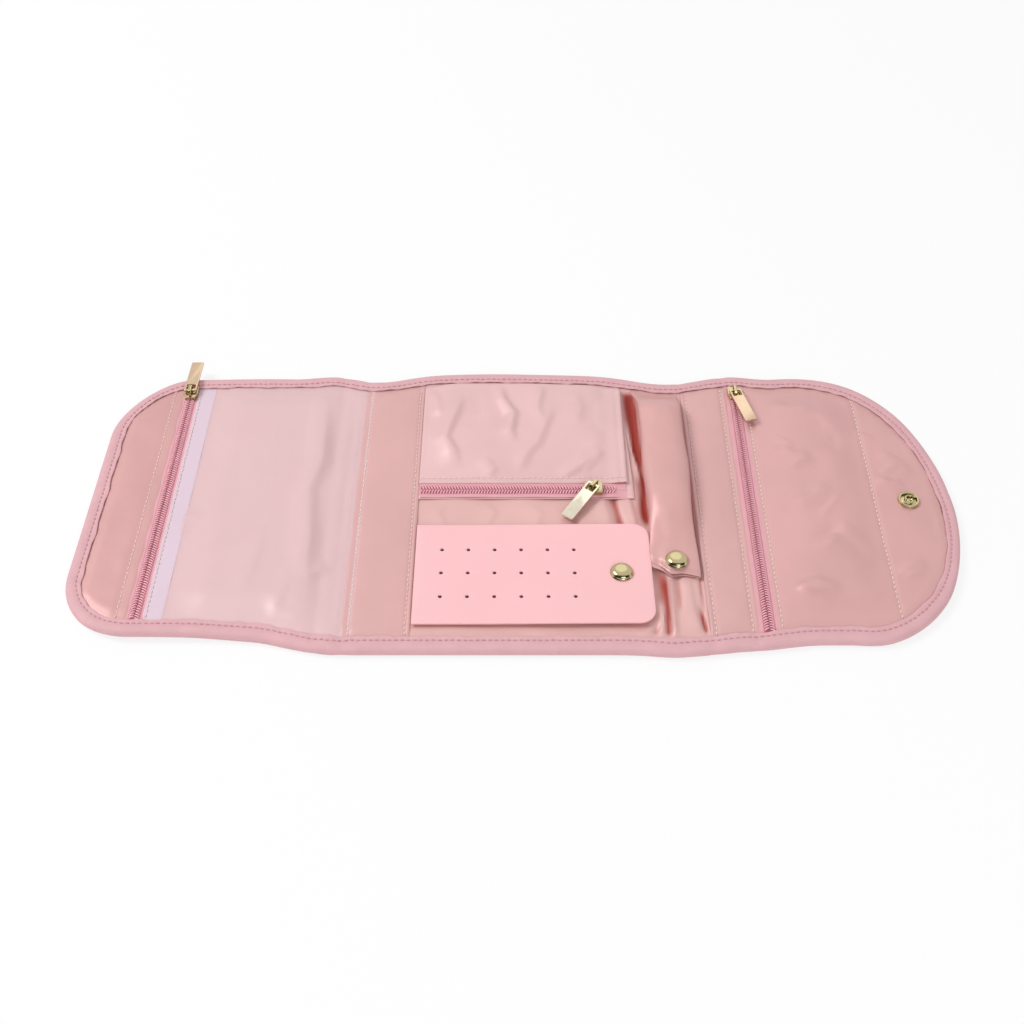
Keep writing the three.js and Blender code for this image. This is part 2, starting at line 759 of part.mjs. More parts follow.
function addRightPanel() {
  const spineX = rightPanelX + halfGap;
  const stackInset = fabricThickness + sewnGap;
  const innerInset = bindingWidth + sewnGap;
  const capRadius = snapCapRadius + snapClearance;
  const postRadius = snapPostRadius + snapClearance;
  const capHole = disc(capRadius, closureSnapX, closureSnapY, -1, capRecessTop);
  const postHole = disc(postRadius, closureSnapX, closureSnapY, -1, bindingTop + 1);
  const socketHole = disc(recessRadius, closureSnapX, closureSnapY, liningTop - 1, bindingTop + 1);
  addPiece("right_cover", cut(slab(rightOutline(innerInset, spineX), 0, coverTop), capHole), "cover");
  const padding = slab(rightOutline(stackInset, spineX), coverTop, liningBottom);
  addPiece("right_padding", cut(padding, capHole, postHole), "padding");
  const lining = slab(rightOutline(stackInset, spineX), liningBottom, liningTop);
  addPiece("right_lining", cut(lining, postHole), "satin");
  addPiece("right_binding", panelBinding(rightOutline, spineX, spineX - 1), "binding");
  addZip({
    name: "right",
    x: rightZipX,
    y: 0,
    angle: 0,
    length: 2 * sideInnerY - 2 * zipEndMargin,
    height: liningTop,
    sliderAt: zipFarY,
    pullTurn: THREE.MathUtils.degToRad(180 - rightPullSwivel),
    pullDroop: rightPullDroop,
  });
  const pocketX = rightZipX + zipTapeWidth + sewnGap;
  const roundReach = (x, startX, reach) => {
    const along = Math.max(0, (x - startX) / (rightEndX - innerInset - startX));
    return reach * Math.sqrt(1 - along ** 2) - sewnGap;
  };
  const pocket = pocketSheet({
    x0: pocketX,
    x1: flapStitchX,
    nearY: (x) => flapTipY - roundReach(x, flapNearX, innerY + flapTipY),
    farY: (x) => flapTipY + roundReach(x, flapFarX, sideInnerY - flapTipY),
    z0: liningTop,
    thickness: fabricThickness,
    rise: pocketRise,
  });
  addPiece("right_pocket_panel", pocket, "satin");
  const facing = slab(rightOutline(innerInset, pocketX), liningTop, bindingTop);
  const besideFlap = block(0, flapStitchX + sewnGap, -rollWidth, rollWidth, -1, bindingTop + 1);
  addPiece("flap_facing", cut(facing, besideFlap, socketHole), "satin");

  const socket = addPiece("closure_snap_socket", snapSocket(closureSocketHeight), "gold");
  socket.position.set(closureSnapX, closureSnapY, liningTop);
  const cap = addPiece("closure_snap_cap", snapCap(liningTop - capRecessTop), "gold");
  cap.position.set(closureSnapX, closureSnapY, capRecessTop - snapClearance / 2);
  cap.rotation.x = Math.PI;
}

addMiddlePanel();
addPouch();
addEarringPanel();
addRingBar();
addSpines();
addLeftPanel();
addRightPanel();

export default roll;
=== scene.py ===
import json
import math

import bmesh
import bpy
import numpy as np
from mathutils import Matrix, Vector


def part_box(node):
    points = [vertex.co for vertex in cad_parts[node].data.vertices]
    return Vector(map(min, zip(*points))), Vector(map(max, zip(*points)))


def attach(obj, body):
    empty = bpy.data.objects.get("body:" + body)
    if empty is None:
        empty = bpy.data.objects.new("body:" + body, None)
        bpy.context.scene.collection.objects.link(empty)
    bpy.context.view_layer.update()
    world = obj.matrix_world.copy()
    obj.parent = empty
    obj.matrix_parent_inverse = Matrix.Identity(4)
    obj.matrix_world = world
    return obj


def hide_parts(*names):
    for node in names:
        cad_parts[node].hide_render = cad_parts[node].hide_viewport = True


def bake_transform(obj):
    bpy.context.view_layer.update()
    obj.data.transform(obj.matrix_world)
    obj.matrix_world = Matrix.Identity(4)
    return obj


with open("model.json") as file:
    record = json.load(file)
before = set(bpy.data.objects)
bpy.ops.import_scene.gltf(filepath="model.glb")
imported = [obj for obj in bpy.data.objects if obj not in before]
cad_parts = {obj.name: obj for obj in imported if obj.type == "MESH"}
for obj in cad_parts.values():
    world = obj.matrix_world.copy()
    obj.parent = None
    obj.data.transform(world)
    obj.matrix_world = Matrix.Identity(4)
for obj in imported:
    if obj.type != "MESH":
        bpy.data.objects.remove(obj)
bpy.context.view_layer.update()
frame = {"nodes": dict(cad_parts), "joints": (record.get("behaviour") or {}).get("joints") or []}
mm = 0.001  # sizes below are in millimetres, meshes and finishes in metres


# Camera at the photograph's viewing angle

photoCamera = {"place": (-0.004, -0.4834, 0.5303), "tilt": 42, "lens": 44.03, "sensor": 36}


def addObject(name, data):
    made = bpy.data.objects.new(name, data)
    bpy.context.scene.collection.objects.link(made)
    return made


def addCamera():
    data = bpy.data.cameras.new("photoCamera")
    data.lens = photoCamera["lens"]
    data.sensor_width = photoCamera["sensor"]
    data.dof.use_dof = False
    camera = addObject("photoCamera", data)
    camera.location = photoCamera["place"]
    camera.rotation_euler = (math.radians(photoCamera["tilt"]), 0, 0)
    bpy.context.scene.camera = camera


addCamera()
bpy.context.scene.view_settings.view_transform = "Standard"
print("camera placed")


# Nodes

def feed(tree, sockets, values):  # links what comes from another node, and sets the rest
    for key, value in values.items():
        source = value.socket if isinstance(value, Wire) else value
        if isinstance(source, bpy.types.NodeSocket):
            tree.links.new(source, sockets[key])
        else:
            sockets[key].default_value = source


def newNode(tree, kind, settings=None, inputs=None):
    made = tree.nodes.new(kind)
    for key, value in (settings or {}).items():
        setattr(made, key, value)
    feed(tree, made.inputs, inputs or {})
    return made


class Wire:  # a shader socket that plain arithmetic works on
    def __init__(self, tree, socket):
        self.tree = tree
        self.socket = socket

    @staticmethod
    def make(tree, kind, settings=None, inputs=None, output=0):
        return Wire(tree, newNode(tree, kind, settings, inputs).outputs[output])

    def maths(self, operation, first, second):
        return Wire.make(self.tree, "ShaderNodeMath", {"operation": operation}, {0: first, 1: second})

    def __add__(self, other):
        return self.maths("ADD", self, other)

    __radd__ = __add__

    def __sub__(self, other):
        return self.maths("SUBTRACT", self, other)

    def __rsub__(self, other):
        return self.maths("SUBTRACT", other, self)

    def __mul__(self, other):
        return self.maths("MULTIPLY", self, other)

    __rmul__ = __mul__

    def above(self, level, width):  # 0 below the level, 1 above it, over a soft step
        inputs = {"Value": self, "From Min": level - width, "From Max": level + width}
        return Wire.make(self.tree, "ShaderNodeMapRange", {"interpolation_type": "SMOOTHSTEP"}, inputs)

    def between(self, first, second):  # a colour from the first at 0 to the second at 1
        inputs = {0: self, 6: first, 7: second}
        return Wire.make(self.tree, "ShaderNodeMix", {"data_type": "RGBA"}, inputs, 2)

    def tint(self, colour, darker, lighter):  # one colour, darker at 0 and lighter at 1
        return self.between(shade(colour, darker), shade(colour, lighter))


def srgb(red, green, blue):  # screen colour, 0 to 255, to the linear colour that nodes hold
    def linear(level):
        share = level / 255
        return share / 12.92 if share <= 0.04045 else ((share + 0.055) / 1.055) ** 2.4

    return (linear(red), linear(green), linear(blue), 1)


def shade(colour, factor):
    return tuple(min(1, channel * factor) for channel in colour[:3]) + (1,)


def newMaterial(name):
    material = bpy.data.materials.new(name)
    material.use_nodes = True
    tree = material.node_tree
    surface = next(node for node in tree.nodes if node.type == "BSDF_PRINCIPLED")
    return material, tree, surface


def clothPlace(tree):  # where a point lies on its flat cut, in metres
    return Wire.make(tree, "ShaderNodeUVMap", {"uv_map": "cut"})


def objectPlace(tree):
    return Wire.make(tree, "ShaderNodeTexCoord", output=3)


def paintedShadeMask(tree):  # painted shade mask: 1 at the bottom of a sunken lining fold and on the tape under a zip coil, kept on the mesh as its depth attribute
    return Wire.make(tree, "ShaderNodeAttribute", {"attribute_name": "depth"}, output=2)


def bands(place, pitch, turn=0):  # parallel threads this far apart
    rotation = (0, 0, math.radians(turn))
    turned = Wire.make(place.tree, "ShaderNodeMapping", {}, {"Vector": place, "Rotation": rotation})
    return Wire.make(
        place.tree, "ShaderNodeTexWave", {"bands_direction": "X", "wave_profile": "SIN"},
        {"Vector": turned, "Scale": 2 * math.pi / 20 / pitch, "Distortion": 0.0}, 1,
    )


def cloud(place, size, detail=2.0, rough=0.5):  # soft mottling with features of about this size
    inputs = {"Vector": place, "Scale": 1 / size, "Detail": detail, "Roughness": rough}
    return Wire.make(place.tree, "ShaderNodeTexNoise", {"noise_dimensions": "3D"}, inputs)


def bump(height, distance, strength=1.0, under=None):
    inputs = {"Height": height, "Distance": distance, "Strength": strength}
    if under is not None:
        inputs["Normal"] = under
    return Wire.make(height.tree, "ShaderNodeBump", {}, inputs)


# Finishes

satinLook = {"thread": 0.0003, "ribs": 0.00042, "ribTurn": 38, "threadHeight": 0.00002, "mottle": 0.05,
             "fine": 0.0015, "ripple": 0.016, "rippleHeight": 0.00032}


def satin(name, colour, roughness, sheen=0.25, ripple=1.0, silk=0.12, paintedShadeColour=None):
    material, tree, surface = newMaterial(name)
    place = clothPlace(tree)
    weave = bands(place, satinLook["thread"], 90) * 0.6
    weave = weave + bands(place, satinLook["ribs"], satinLook["ribTurn"]) * 0.4
    drift = cloud(place, satinLook["mottle"], 3)
    fine = cloud(place, satinLook["fine"])
    tone = drift.above(0.5, 0.2) * 0.7 + fine * 0.3
    folds = bump(cloud(place, satinLook["ripple"], 2, 0.45), satinLook["rippleHeight"] * ripple)
    dyed = tone.tint(colour, 0.95, 1.04)
    dull = roughness + 0.1 * (fine - 0.5) + 0.08 * (drift - 0.5)
    # painted shade: where the mesh's depth attribute is high, the colour (dyed from here on) turns to the
    # painted shade colour, and the cloth turns rougher and less metallic, so folds read darker
    if paintedShadeColour:
        sunk = paintedShadeMask(tree)
        dyed = sunk.between(dyed, paintedShadeColour)
        dull = dull + 0.25 * sunk
        silk = silk * (1 - sunk)
    feed(tree, surface.inputs, {
        "Base Color": dyed,
        "Roughness": dull,
        "Normal": bump(weave, satinLook["threadHeight"], 0.6, folds),
        "Metallic": silk,
        "Specular IOR Level": 0.5,
        "Sheen Weight": sheen,
        "Sheen Roughness": 0.4,
        "Sheen Tint": shade(colour, 1.2),
    })
    return material


tapeLook = {"crossing": 0.6, "ribHeight": 0.00006, "worn": 0.012, "wornHeight": 0.0004, "fuzz": 0.0008}


def ribbedTape(name, colour, pitch, roughness=0.75, paintedShadeColour=None):
    material, tree, surface = newMaterial(name)
    place = clothPlace(tree)
    ribs = bands(place, pitch) * 0.65 + bands(place, pitch * tapeLook["crossing"], 90) * 0.35
    worn = cloud(place, tapeLook["worn"], 3)
    fuzz = cloud(place, tapeLook["fuzz"])
    dyed = (worn * 0.6 + fuzz * 0.4).above(0.5, 0.3).tint(colour, 0.93, 1.05)
    uneven = bump(worn, tapeLook["wornHeight"], 0.6)
    feed(tree, surface.inputs, {
        # painted shade under the zip coil: the colour turns to the painted shade colour where the depth
        # attribute is high
        "Base Color": paintedShadeMask(tree).between(dyed, paintedShadeColour) if paintedShadeColour else dyed,
        "Roughness": roughness + 0.12 * (fuzz - 0.5),
        "Normal": bump(ribs, tapeLook["ribHeight"], 0.7, uneven),
        "Sheen Weight": 0.35,
        "Sheen Roughness": 0.5,
        "Sheen Tint": shade(colour, 1.15),
    })
    return material


filmLook = {"haze": 0.04, "grain": 0.0007, "grainHeight": 0.00002, "wave": 0.03, "waveHeight": 0.0003}


def softFilm(name, colour, alpha):
    material, tree, surface = newMaterial(name)
    place = clothPlace(tree)
    haze = cloud(place, filmLook["haze"], 1)
    grain = cloud(place, filmLook["grain"], 1)
    waves = bump(cloud(place, filmLook["wave"], 1), filmLook["waveHeight"], 0.6)
    feed(tree, surface.inputs, {
        "Base Color": haze.tint(colour, 0.97, 1.02),
        "Roughness": 0.28 + 0.1 * haze,
        "Alpha": alpha,
        "Normal": bump(grain, filmLook["grainHeight"], 0.4, waves),
        "Specular IOR Level": 0.6,
    })
    return material


leatherLook = {"pebble": 1 / 1100, "pebbleHeight": 0.00003, "drift": 0.04}


def leatherette(name, colour):
    material, tree, surface = newMaterial(name)
    place = objectPlace(tree)
    inputs = {"Vector": place, "Scale": 1 / leatherLook["pebble"]}
    pebble = Wire.make(tree, "ShaderNodeTexVoronoi", {"feature": "SMOOTH_F1"}, inputs)
    feed(tree, surface.inputs, {
        "Base Color": cloud(place, leatherLook["drift"]).tint(colour, 0.97, 1.02),
        "Roughness": 0.48 + 0.1 * (pebble - 0.5),
        "Normal": bump(pebble, leatherLook["pebbleHeight"], 0.35),
        "Specular IOR Level": 0.4,
        "Sheen Weight": 0.1,
        "Sheen Tint": shade(colour, 1.1),
    })
    return material


plateLook = {"haze": 0.004, "streak": 0.002, "drawn": (1, 9, 3), "streakHeight": 0.000008}


def goldPlate(name, colour, roughness):
    material, tree, surface = newMaterial(name)
    place = objectPlace(tree)
    haze = cloud(place, plateLook["haze"], 3)
    drawn = Wire.make(tree, "ShaderNodeMapping", {}, {"Vector": place, "Scale": plateLook["drawn"]})
    streaks = cloud(drawn, plateLook["streak"])
    feed(tree, surface.inputs, {
        "Base Color": haze.tint(colour, 0.9, 1.06),
        "Metallic": 1.0,
        "Roughness": roughness + 0.1 * (streaks - 0.5) + 0.06 * (haze - 0.5),
        "Normal": bump(streaks, plateLook["streakHeight"], 0.5),
    })
    return material


nylonLook = {"drift": 0.006, "grain": 0.0005, "grainHeight": 0.00002}


def nylon(name, colour):
    material, tree, surface = newMaterial(name)
    place = objectPlace(tree)
    drift = cloud(place, nylonLook["drift"])
    feed(tree, surface.inputs, {
        "Base Color": drift.tint(colour, 0.86, 1.1),
        "Roughness": 0.36 + 0.12 * (drift - 0.5),
        "Normal": bump(cloud(place, nylonLook["grain"], 1), nylonLook["grainHeight"], 0.4),
    })
    return material


threadLook = {"twist": 0.00025, "turn": 35, "twistHeight": 0.00003}


def thread(name, colour):
    material, tree, surface = newMaterial(name)
    twist = bands(objectPlace(tree), threadLook["twist"], threadLook["turn"])
    feed(tree, surface.inputs, {
        "Base Color": twist.tint(colour, 0.88, 1.05),
        "Roughness": 0.55 + 0.1 * twist,
        "Normal": bump(twist, threadLook["twistHeight"], 0.6),
        "Sheen Weight": 0.2,
    })
    return material


foamLook = {"cell": 0.0012, "cellHeight": 0.0003}


def foam(name, colour):
    material, tree, surface = newMaterial(name)
    cells = cloud(clothPlace(tree), foamLook["cell"], 3)
    feed(tree, surface.inputs, {
        "Base Color": cells.tint(colour, 0.9, 1),
        "Roughness": 0.9 + 0.08 * (cells - 0.5),
        "Normal": bump(cells, foamLook["cellHeight"], 0.8),
    })
    return material


# the lining's last colour is painted shade for its sunken folds
liningSatin = satin("lining satin", srgb(226, 180, 176), 0.45, 0.2, 1.2, 0.16, srgb(170, 61, 49))
panelSatin = satin("panel satin", srgb(218, 170, 168), 0.42)
barSatin = satin("bar satin", srgb(218, 167, 164), 0.43, 0.25, 1.0, 0.17)
endSatin = satin("end satin", srgb(212, 161, 159), 0.42)
flapSatin = satin("flap satin", srgb(217, 167, 165), 0.35, 0.2, 1.1, 0.16)
pouchSatin = satin("pouch satin", srgb(228, 188, 187), 0.42)
coverCloth = ribbedTape("cover cloth", srgb(218, 168, 172), 0.0007, 0.7)
bindingCloth = ribbedTape("binding tape", srgb(224, 176, 181), 0.0006)
# the zip tape's last colour is painted shade under the coil
zipCloth = ribbedTape("zip tape", srgb(230, 170, 178), 0.0008, paintedShadeColour=srgb(194, 108, 124))
clearFilm = softFilm("window film", srgb(255, 223, 226), 0.5)
hemFilm = softFilm("window hem film", srgb(248, 227, 241), 0.66)
flapSheet = leatherette("earring sheet", srgb(253, 197, 200))
palePlate = goldPlate("pale gold", srgb(196, 182, 140), 0.15)
pullPlate = goldPlate("pull gold", srgb(219, 192, 163), 0.2)
pouchPlate = goldPlate("pouch pull plate", srgb(236, 226, 204), 0.12)
coilNylon = nylon("zip coil", srgb(250, 192, 203))
paleThread = thread("seam thread", srgb(241, 220, 211))
tapeThread = thread("binding thread", srgb(211, 156, 161))
padFoam = foam("pad foam", srgb(242, 238, 232))
print("finishes made")


# The roll's measures, read from the frame where a node shows them

jointPlaces = {joint["name"]: joint.get("pos_m") for joint in frame["joints"]}
leftIn, leftOut, rightIn, rightOut = (
    jointPlaces[name][0] / mm
    for name in ("left_inner_fold", "left_outer_fold", "right_inner_fold", "right_outer_fold")
)


def boxMm(node):
    low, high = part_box(node)
    return [value / mm for value in low], [value / mm for value in high]


def middleOf(box):
    return [(low + high) / 2 for low, high in zip(*box)]


def roundPlace(node):  # a round solid's middle, its lowest and highest level, and its radius
    low, high = box = boxMm(node)
    x, y, _ = middleOf(box)
    return x, y, low[2], high[2], (high[0] - low[0]) / 2


leftEnd = boxMm("left_binding")[0][0]
rightEnd = boxMm("right_binding")[1][0]
halfWidth = boxMm("middle_binding_back")[1][1]
innerY = boxMm("seam_strip")[1][1]
sideInnerY = boxMm("window_hem")[1][1]
liningTop = boxMm("middle_lining")[1][2]
leftZipX = middleOf(boxMm("left_zip_coil"))[0]
rightZipX = middleOf(boxMm("right_zip_coil"))[0]
drawIn = innerY - sideInnerY

outline = {"cornerRadius": 40, "drawInLength": 32, "flapFarX": 161, "flapNearX": 176, "flapTipY": -8}
tape = {"width": 9, "stitchAt": 6.2, "sewnAt": (6.3, 0.12), "thickness": 0.6, "under": 0.25,
        "tuck": (-0.4, 5.5), "overlap": 0.7, "pucker": 0.16, "puckerWaves": (7.5, 17), "waver": 0.35,
        "waverWaves": (31, 13), "lipFrom": (5.5, 9), "lipHeight": (2, 5)}
leftSeamX = (leftIn + leftOut) / 2
middleSeamX = 4
rightSeamX = (rightIn + rightOut) / 2
bendHalf = 3.5
creaseBand = 7
creaseStep = 0.9


def smooth(start, end, value):
    along = np.clip((np.asarray(value, float) - start) / (end - start), 0, 1)
    return along * along * (3 - 2 * along)


def hump(value, centre, width):
    return np.exp(-(((np.asarray(value, float) - centre) / width) ** 2))


def cornerY(x, half, inset):
    radius = outline["cornerRadius"] - inset
    across = np.minimum(x - (leftEnd + outline["cornerRadius"]), 0)
    return half - drawIn - radius + np.sqrt(np.maximum(radius**2 - across**2, 0))


def flapY(x, startX, reach, inset):
    along = np.clip((x - startX) / (rightEnd - inset - startX), 0, 1)
    return reach * np.sqrt(1 - along**2)


def farEdge(x, inset=0.0):  # the panel's far outline, taken in by an inset
    x = np.asarray(x, float)
    half, tip, length = halfWidth - inset, outline["flapTipY"], outline["drawInLength"]
    y = half - drawIn * (smooth(0, length, leftOut - x) + smooth(0, length, x - rightOut))
    y = np.where(x < leftEnd + outline["cornerRadius"], cornerY(x, half, inset), y)
    flap = tip + flapY(x, outline["flapFarX"], half - drawIn - tip, inset)
    return np.where(x > outline["flapFarX"], flap, y)


def nearEdge(x, inset=0.0):
    x = np.asarray(x, float)
    half, tip = halfWidth - inset, outline["flapTipY"]
    y = half - drawIn * smooth(0, outline["drawInLength"], leftOut - x)
    y = np.where(x < leftEnd + outline["cornerRadius"], cornerY(x, half, inset), y)
    return -np.where(x > outline["flapNearX"], flapY(x, outline["flapNearX"], half + tip, inset) - tip, y)


def edgeDistance(x, y):  # how far a point lies inside the outline
    step = 0.4
    distances = []
    for edge, side in ((farEdge, 1), (nearEdge, -1)):
        slope = (edge(x + step) - edge(x - step)) / (2 * step)
        distances.append(side * (edge(x) - y) / np.sqrt(1 + slope**2))
    return np.minimum(np.minimum(*distances), np.minimum(x - leftEnd, rightEnd - x))


# How the open roll lies: its edges drawn in at the creases, its near left corner lifted a little

lie = {
    "farMoves": [  # each draw or bulge of the far edge: (way, centre, width)
        (-6.4, leftIn + 6, 23), (-8.2, rightIn - 9, 29), (1.4, -15, 40), (1.4, -155, 42), (7.3, 215, 40),
    ],
    "farCorner": 10, "cornerFrom": (-200, -248),
    "nearMiddle": 2.2, "middleFrom": (-118, -95), "middleTo": (122, 94),
    "nearCrease": 1.6, "creaseAt": rightIn - 20, "creaseWidth": 14,
    "nearLeft": 3.6, "leftFrom": (-112, -176),
    "nearRight": 4.0, "rightFrom": (120, 160), "rightEase": 0.5, "easeFrom": (172, 195),
    "ramp": (0.25, 0.95), "leastReach": 12,
    "leanY": 85, "leanLength": 170, "leanMost": 1.1,
    "leanLeft": 0.9, "leanLeftFrom": (-140, -195),
    "leanRight": 2.4, "leanRightFrom": (108, 126), "leanRightTo": (172, 140),
    "endShift": 2.3, "endFrom": (226, 249),
    "creasePinch": 0.16, "pinchWidth": 3.2, "pinchHeight": (9, 5),
    "nearLift": 2.4, "liftFrom": (-130, -200), "liftEdge": (86, 105),
}


def drape(points):
    x, y, z = np.array(points, float).reshape(-1, 3).T
    far = sum(way * hump(x, centre, width) for way, centre, width in lie["farMoves"])
    far -= lie["farCorner"] * smooth(*lie["cornerFrom"], x)
    near = lie["nearMiddle"] * smooth(*lie["middleFrom"], x) * smooth(*lie["middleTo"], x)
    near += lie["nearCrease"] * hump(x, lie["creaseAt"], lie["creaseWidth"])
    near -= lie["nearLeft"] * smooth(*lie["leftFrom"], x)
    eased = 1 - lie["rightEase"] * smooth(*lie["easeFrom"], x)
    near -= lie["nearRight"] * smooth(*lie["rightFrom"], x) * eased
    farRamp = smooth(*lie["ramp"], y / np.maximum(farEdge(x), lie["leastReach"]))
    nearRamp = smooth(*lie["ramp"], y / np.minimum(nearEdge(x), -lie["leastReach"]))
    moved = y + far * farRamp - near * nearRamp
    lean = np.clip((lie["leanY"] - y) / lie["leanLength"], 0, lie["leanMost"])
    along = x - lie["endShift"] * smooth(*lie["endFrom"], x)
    along -= lean * lie["leanLeft"] * smooth(*lie["leanLeftFrom"], x)
    along -= lean * lie["leanRight"] * smooth(*lie["leanRightFrom"], x) * smooth(*lie["leanRightTo"], x)
    creases = sum(hump(x, crease, lie["pinchWidth"]) for crease in (leftIn, leftOut, rightIn, rightOut))
    pinched = 1 - lie["creasePinch"] * creases * smooth(*lie["pinchHeight"], z)
    middle = liningTop / 2
    lift = lie["nearLift"] * smooth(*lie["liftFrom"], x) * smooth(*lie["liftEdge"], -y)
    return np.stack([along, moved, (z - middle) * pinched + middle + lift], 1)


wrinkleSides = {"steep": 0.7, "slack": 1.5, "fade": 0.3}


def wrinkles(x, y, creases):  # folds along lines: (points, width, height), steeper on the left of their way
    total = np.zeros_like(x)
    for line, width, height in creases:
        nearest = np.full_like(x, np.inf)
        along = np.zeros_like(x)
        reach = np.ones_like(x)
        run = 0
        for (x0, y0), (x1, y1) in zip(line[:-1], line[1:]):
            length = math.hypot(x1 - x0, y1 - y0)
            t = np.clip(((x - x0) * (x1 - x0) + (y - y0) * (y1 - y0)) / length**2, 0, 1)
            distance = np.hypot(x - x0 - t * (x1 - x0), y - y0 - t * (y1 - y0))
            closer = distance < nearest
            left = (x - x0) * (y1 - y0) - (y - y0) * (x1 - x0) < 0
            nearest = np.where(closer, distance, nearest)
            along = np.where(closer, run + t * length, along)
            reach = np.where(closer, np.where(left, wrinkleSides["steep"], wrinkleSides["slack"]), reach)
            run += length
        faded = run * wrinkleSides["fade"]
        fade = smooth(0, faded, along) * smooth(run, run - faded, along)
        total += height * fade * np.exp(-((nearest / (width * reach)) ** 2))
    return total


def ripple(x, y, height, wave, seed):  # gentle unevenness from a few crossing waves
    draw = np.random.default_rng(seed)
    waves = 6
    total = np.zeros_like(x)
    for _ in range(waves):
        turn, phase = draw.uniform(0, 2 * math.pi, 2)
        size = wave * draw.uniform(0.6, 1.6)
        total += np.sin((x * math.cos(turn) + y * math.sin(turn)) * 2 * math.pi / size + phase)
    return height * total / waves


def tucked(x, y, height):  # a sheet's height, brought down where it goes under the edge tape
    low = liningTop + tape["under"]
    start, end = (tape["width"] + reach for reach in tape["tuck"])
    return low + (height - low) * smooth(start, end, edgeDistance(x, y))


def seamValley(value, line, depth=0.45):
    return -depth * hump(value, line, 1)


stationLook = {"edge": 0.35, "inner": 1, "least": 0.12}


def stations(start, end, step, dense=()):  # places along a piece, closer at its ends and at dense stretches
    edge, inner = stationLook["edge"], stationLook["inner"]
    values = list(np.linspace(start, end, max(2, int(round((end - start) / step)) + 1)))
    values += [start + edge, start + inner, end - inner, end - edge]
    for centre, half, fine in dense:
        values += list(np.arange(centre - half, centre + half + fine / 2, fine))
    values = np.unique(np.round([v for v in values if start <= v <= end], 3))
    return values[np.insert(np.diff(values) > stationLook["least"], 0, True)]


def lipNear(x):  # the sheets' edges, just under the tape's lip
    return nearEdge(x, tape["width"] - tape["overlap"])


def lipFar(x):
    return farEdge(x, tape["width"] - tape["overlap"])


def straight(y):
    return lambda x: np.full_like(np.asarray(x, float), y)


# Making pieces

sharpAngles = {"cloth": 48, "sheet": 35, "turned": 40, "cast": 32}
edgeRound = 0.9
leastThickness = 0.08
paintedShadeRange = (0.3, 2.2)  # how far below the flat lining the painted shade starts and is full


def finishMesh(mesh, material, sharp):
    mesh.materials.clear()
    mesh.materials.append(material)
    mesh.polygons.foreach_set("use_smooth", [True] * len(mesh.polygons))
    mesh.update()
    mesh.set_sharp_from_angle(angle=math.radians(sharp))


def newPiece(name, points, faces, material, cut=None, depth=None):
    mesh = bpy.data.meshes.new(name)
    mesh.from_pydata((np.asarray(points) * mm).tolist(), [], faces)
    if cut is not None:
        layer = mesh.uv_layers.new(name="cut")
        corners = np.zeros(len(mesh.loops), np.int32)
        mesh.loops.foreach_get("vertex_index", corners)
        layer.uv.foreach_set("vector", (np.asarray(cut, np.float32) * mm)[corners].ravel())
    # depth attribute: the mask for painted shade, read by the lining and zip tape finishes
    if depth is not None:
        kept = mesh.attributes.new("depth", "FLOAT", "POINT")
        kept.data.foreach_set("value", np.asarray(depth, np.float32))
    finishMesh(mesh, material, sharpAngles["cloth"])
    return addObject(name, mesh)


def faceOut(piece, sharp=sharpAngles["cloth"]):
    shape = bmesh.new()
    shape.from_mesh(piece.data)
    bmesh.ops.recalc_face_normals(shape, faces=shape.faces)
    shape.to_mesh(piece.data)
    shape.free()
    piece.data.set_sharp_from_angle(angle=math.radians(sharp))
    return piece


bends = {
    "left_end": ("left_spine", "left_panel", leftOut + bendHalf, leftOut - bendHalf),
    "left_middle": ("middle", "left_spine", leftIn + bendHalf, leftIn - bendHalf),
    "right_middle": ("middle", "right_spine", rightIn - bendHalf, rightIn + bendHalf),
    "right_end": ("right_spine", "right_panel", rightOut - bendHalf, rightOut + bendHalf),
}


def carry(piece, holder, slotName, *nodes):  # on one body, or, where it spans a crease, left in place on no body
    if holder in bends:
        first, second, startX, endX = bends[holder]
        startX * mm
        endX * mm
        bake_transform(piece)
    else:
        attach(piece, holder)
    if nodes:
        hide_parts(*nodes)
    return piece


def gridFaces(columns, rows, layer):  # top, bottom and rim of a sheet laid out in columns and rows
    index = np.arange(columns * rows).reshape(columns, rows)
    quads = np.stack([index[:-1, :-1], index[1:, :-1], index[1:, 1:], index[:-1, 1:]], -1).reshape(-1, 4)
    rim = np.concatenate([index[:-1, 0], index[-1, :-1], index[:0:-1, -1], index[0, :0:-1]])
    following = np.roll(rim, -1)
    walls = np.stack([rim + layer, following + layer, following, rim], -1)
    return np.concatenate([quads, quads[:, ::-1] + layer, walls]).tolist()


def sheetPlan(look):  # the places along a sheet, and its near and far edge at each
    xs = stations(look["startX"], look["endX"], look["step"], look.get("dense", ()))
    return xs, look.get("near", lipNear)(xs), look.get("far", lipFar)(xs)


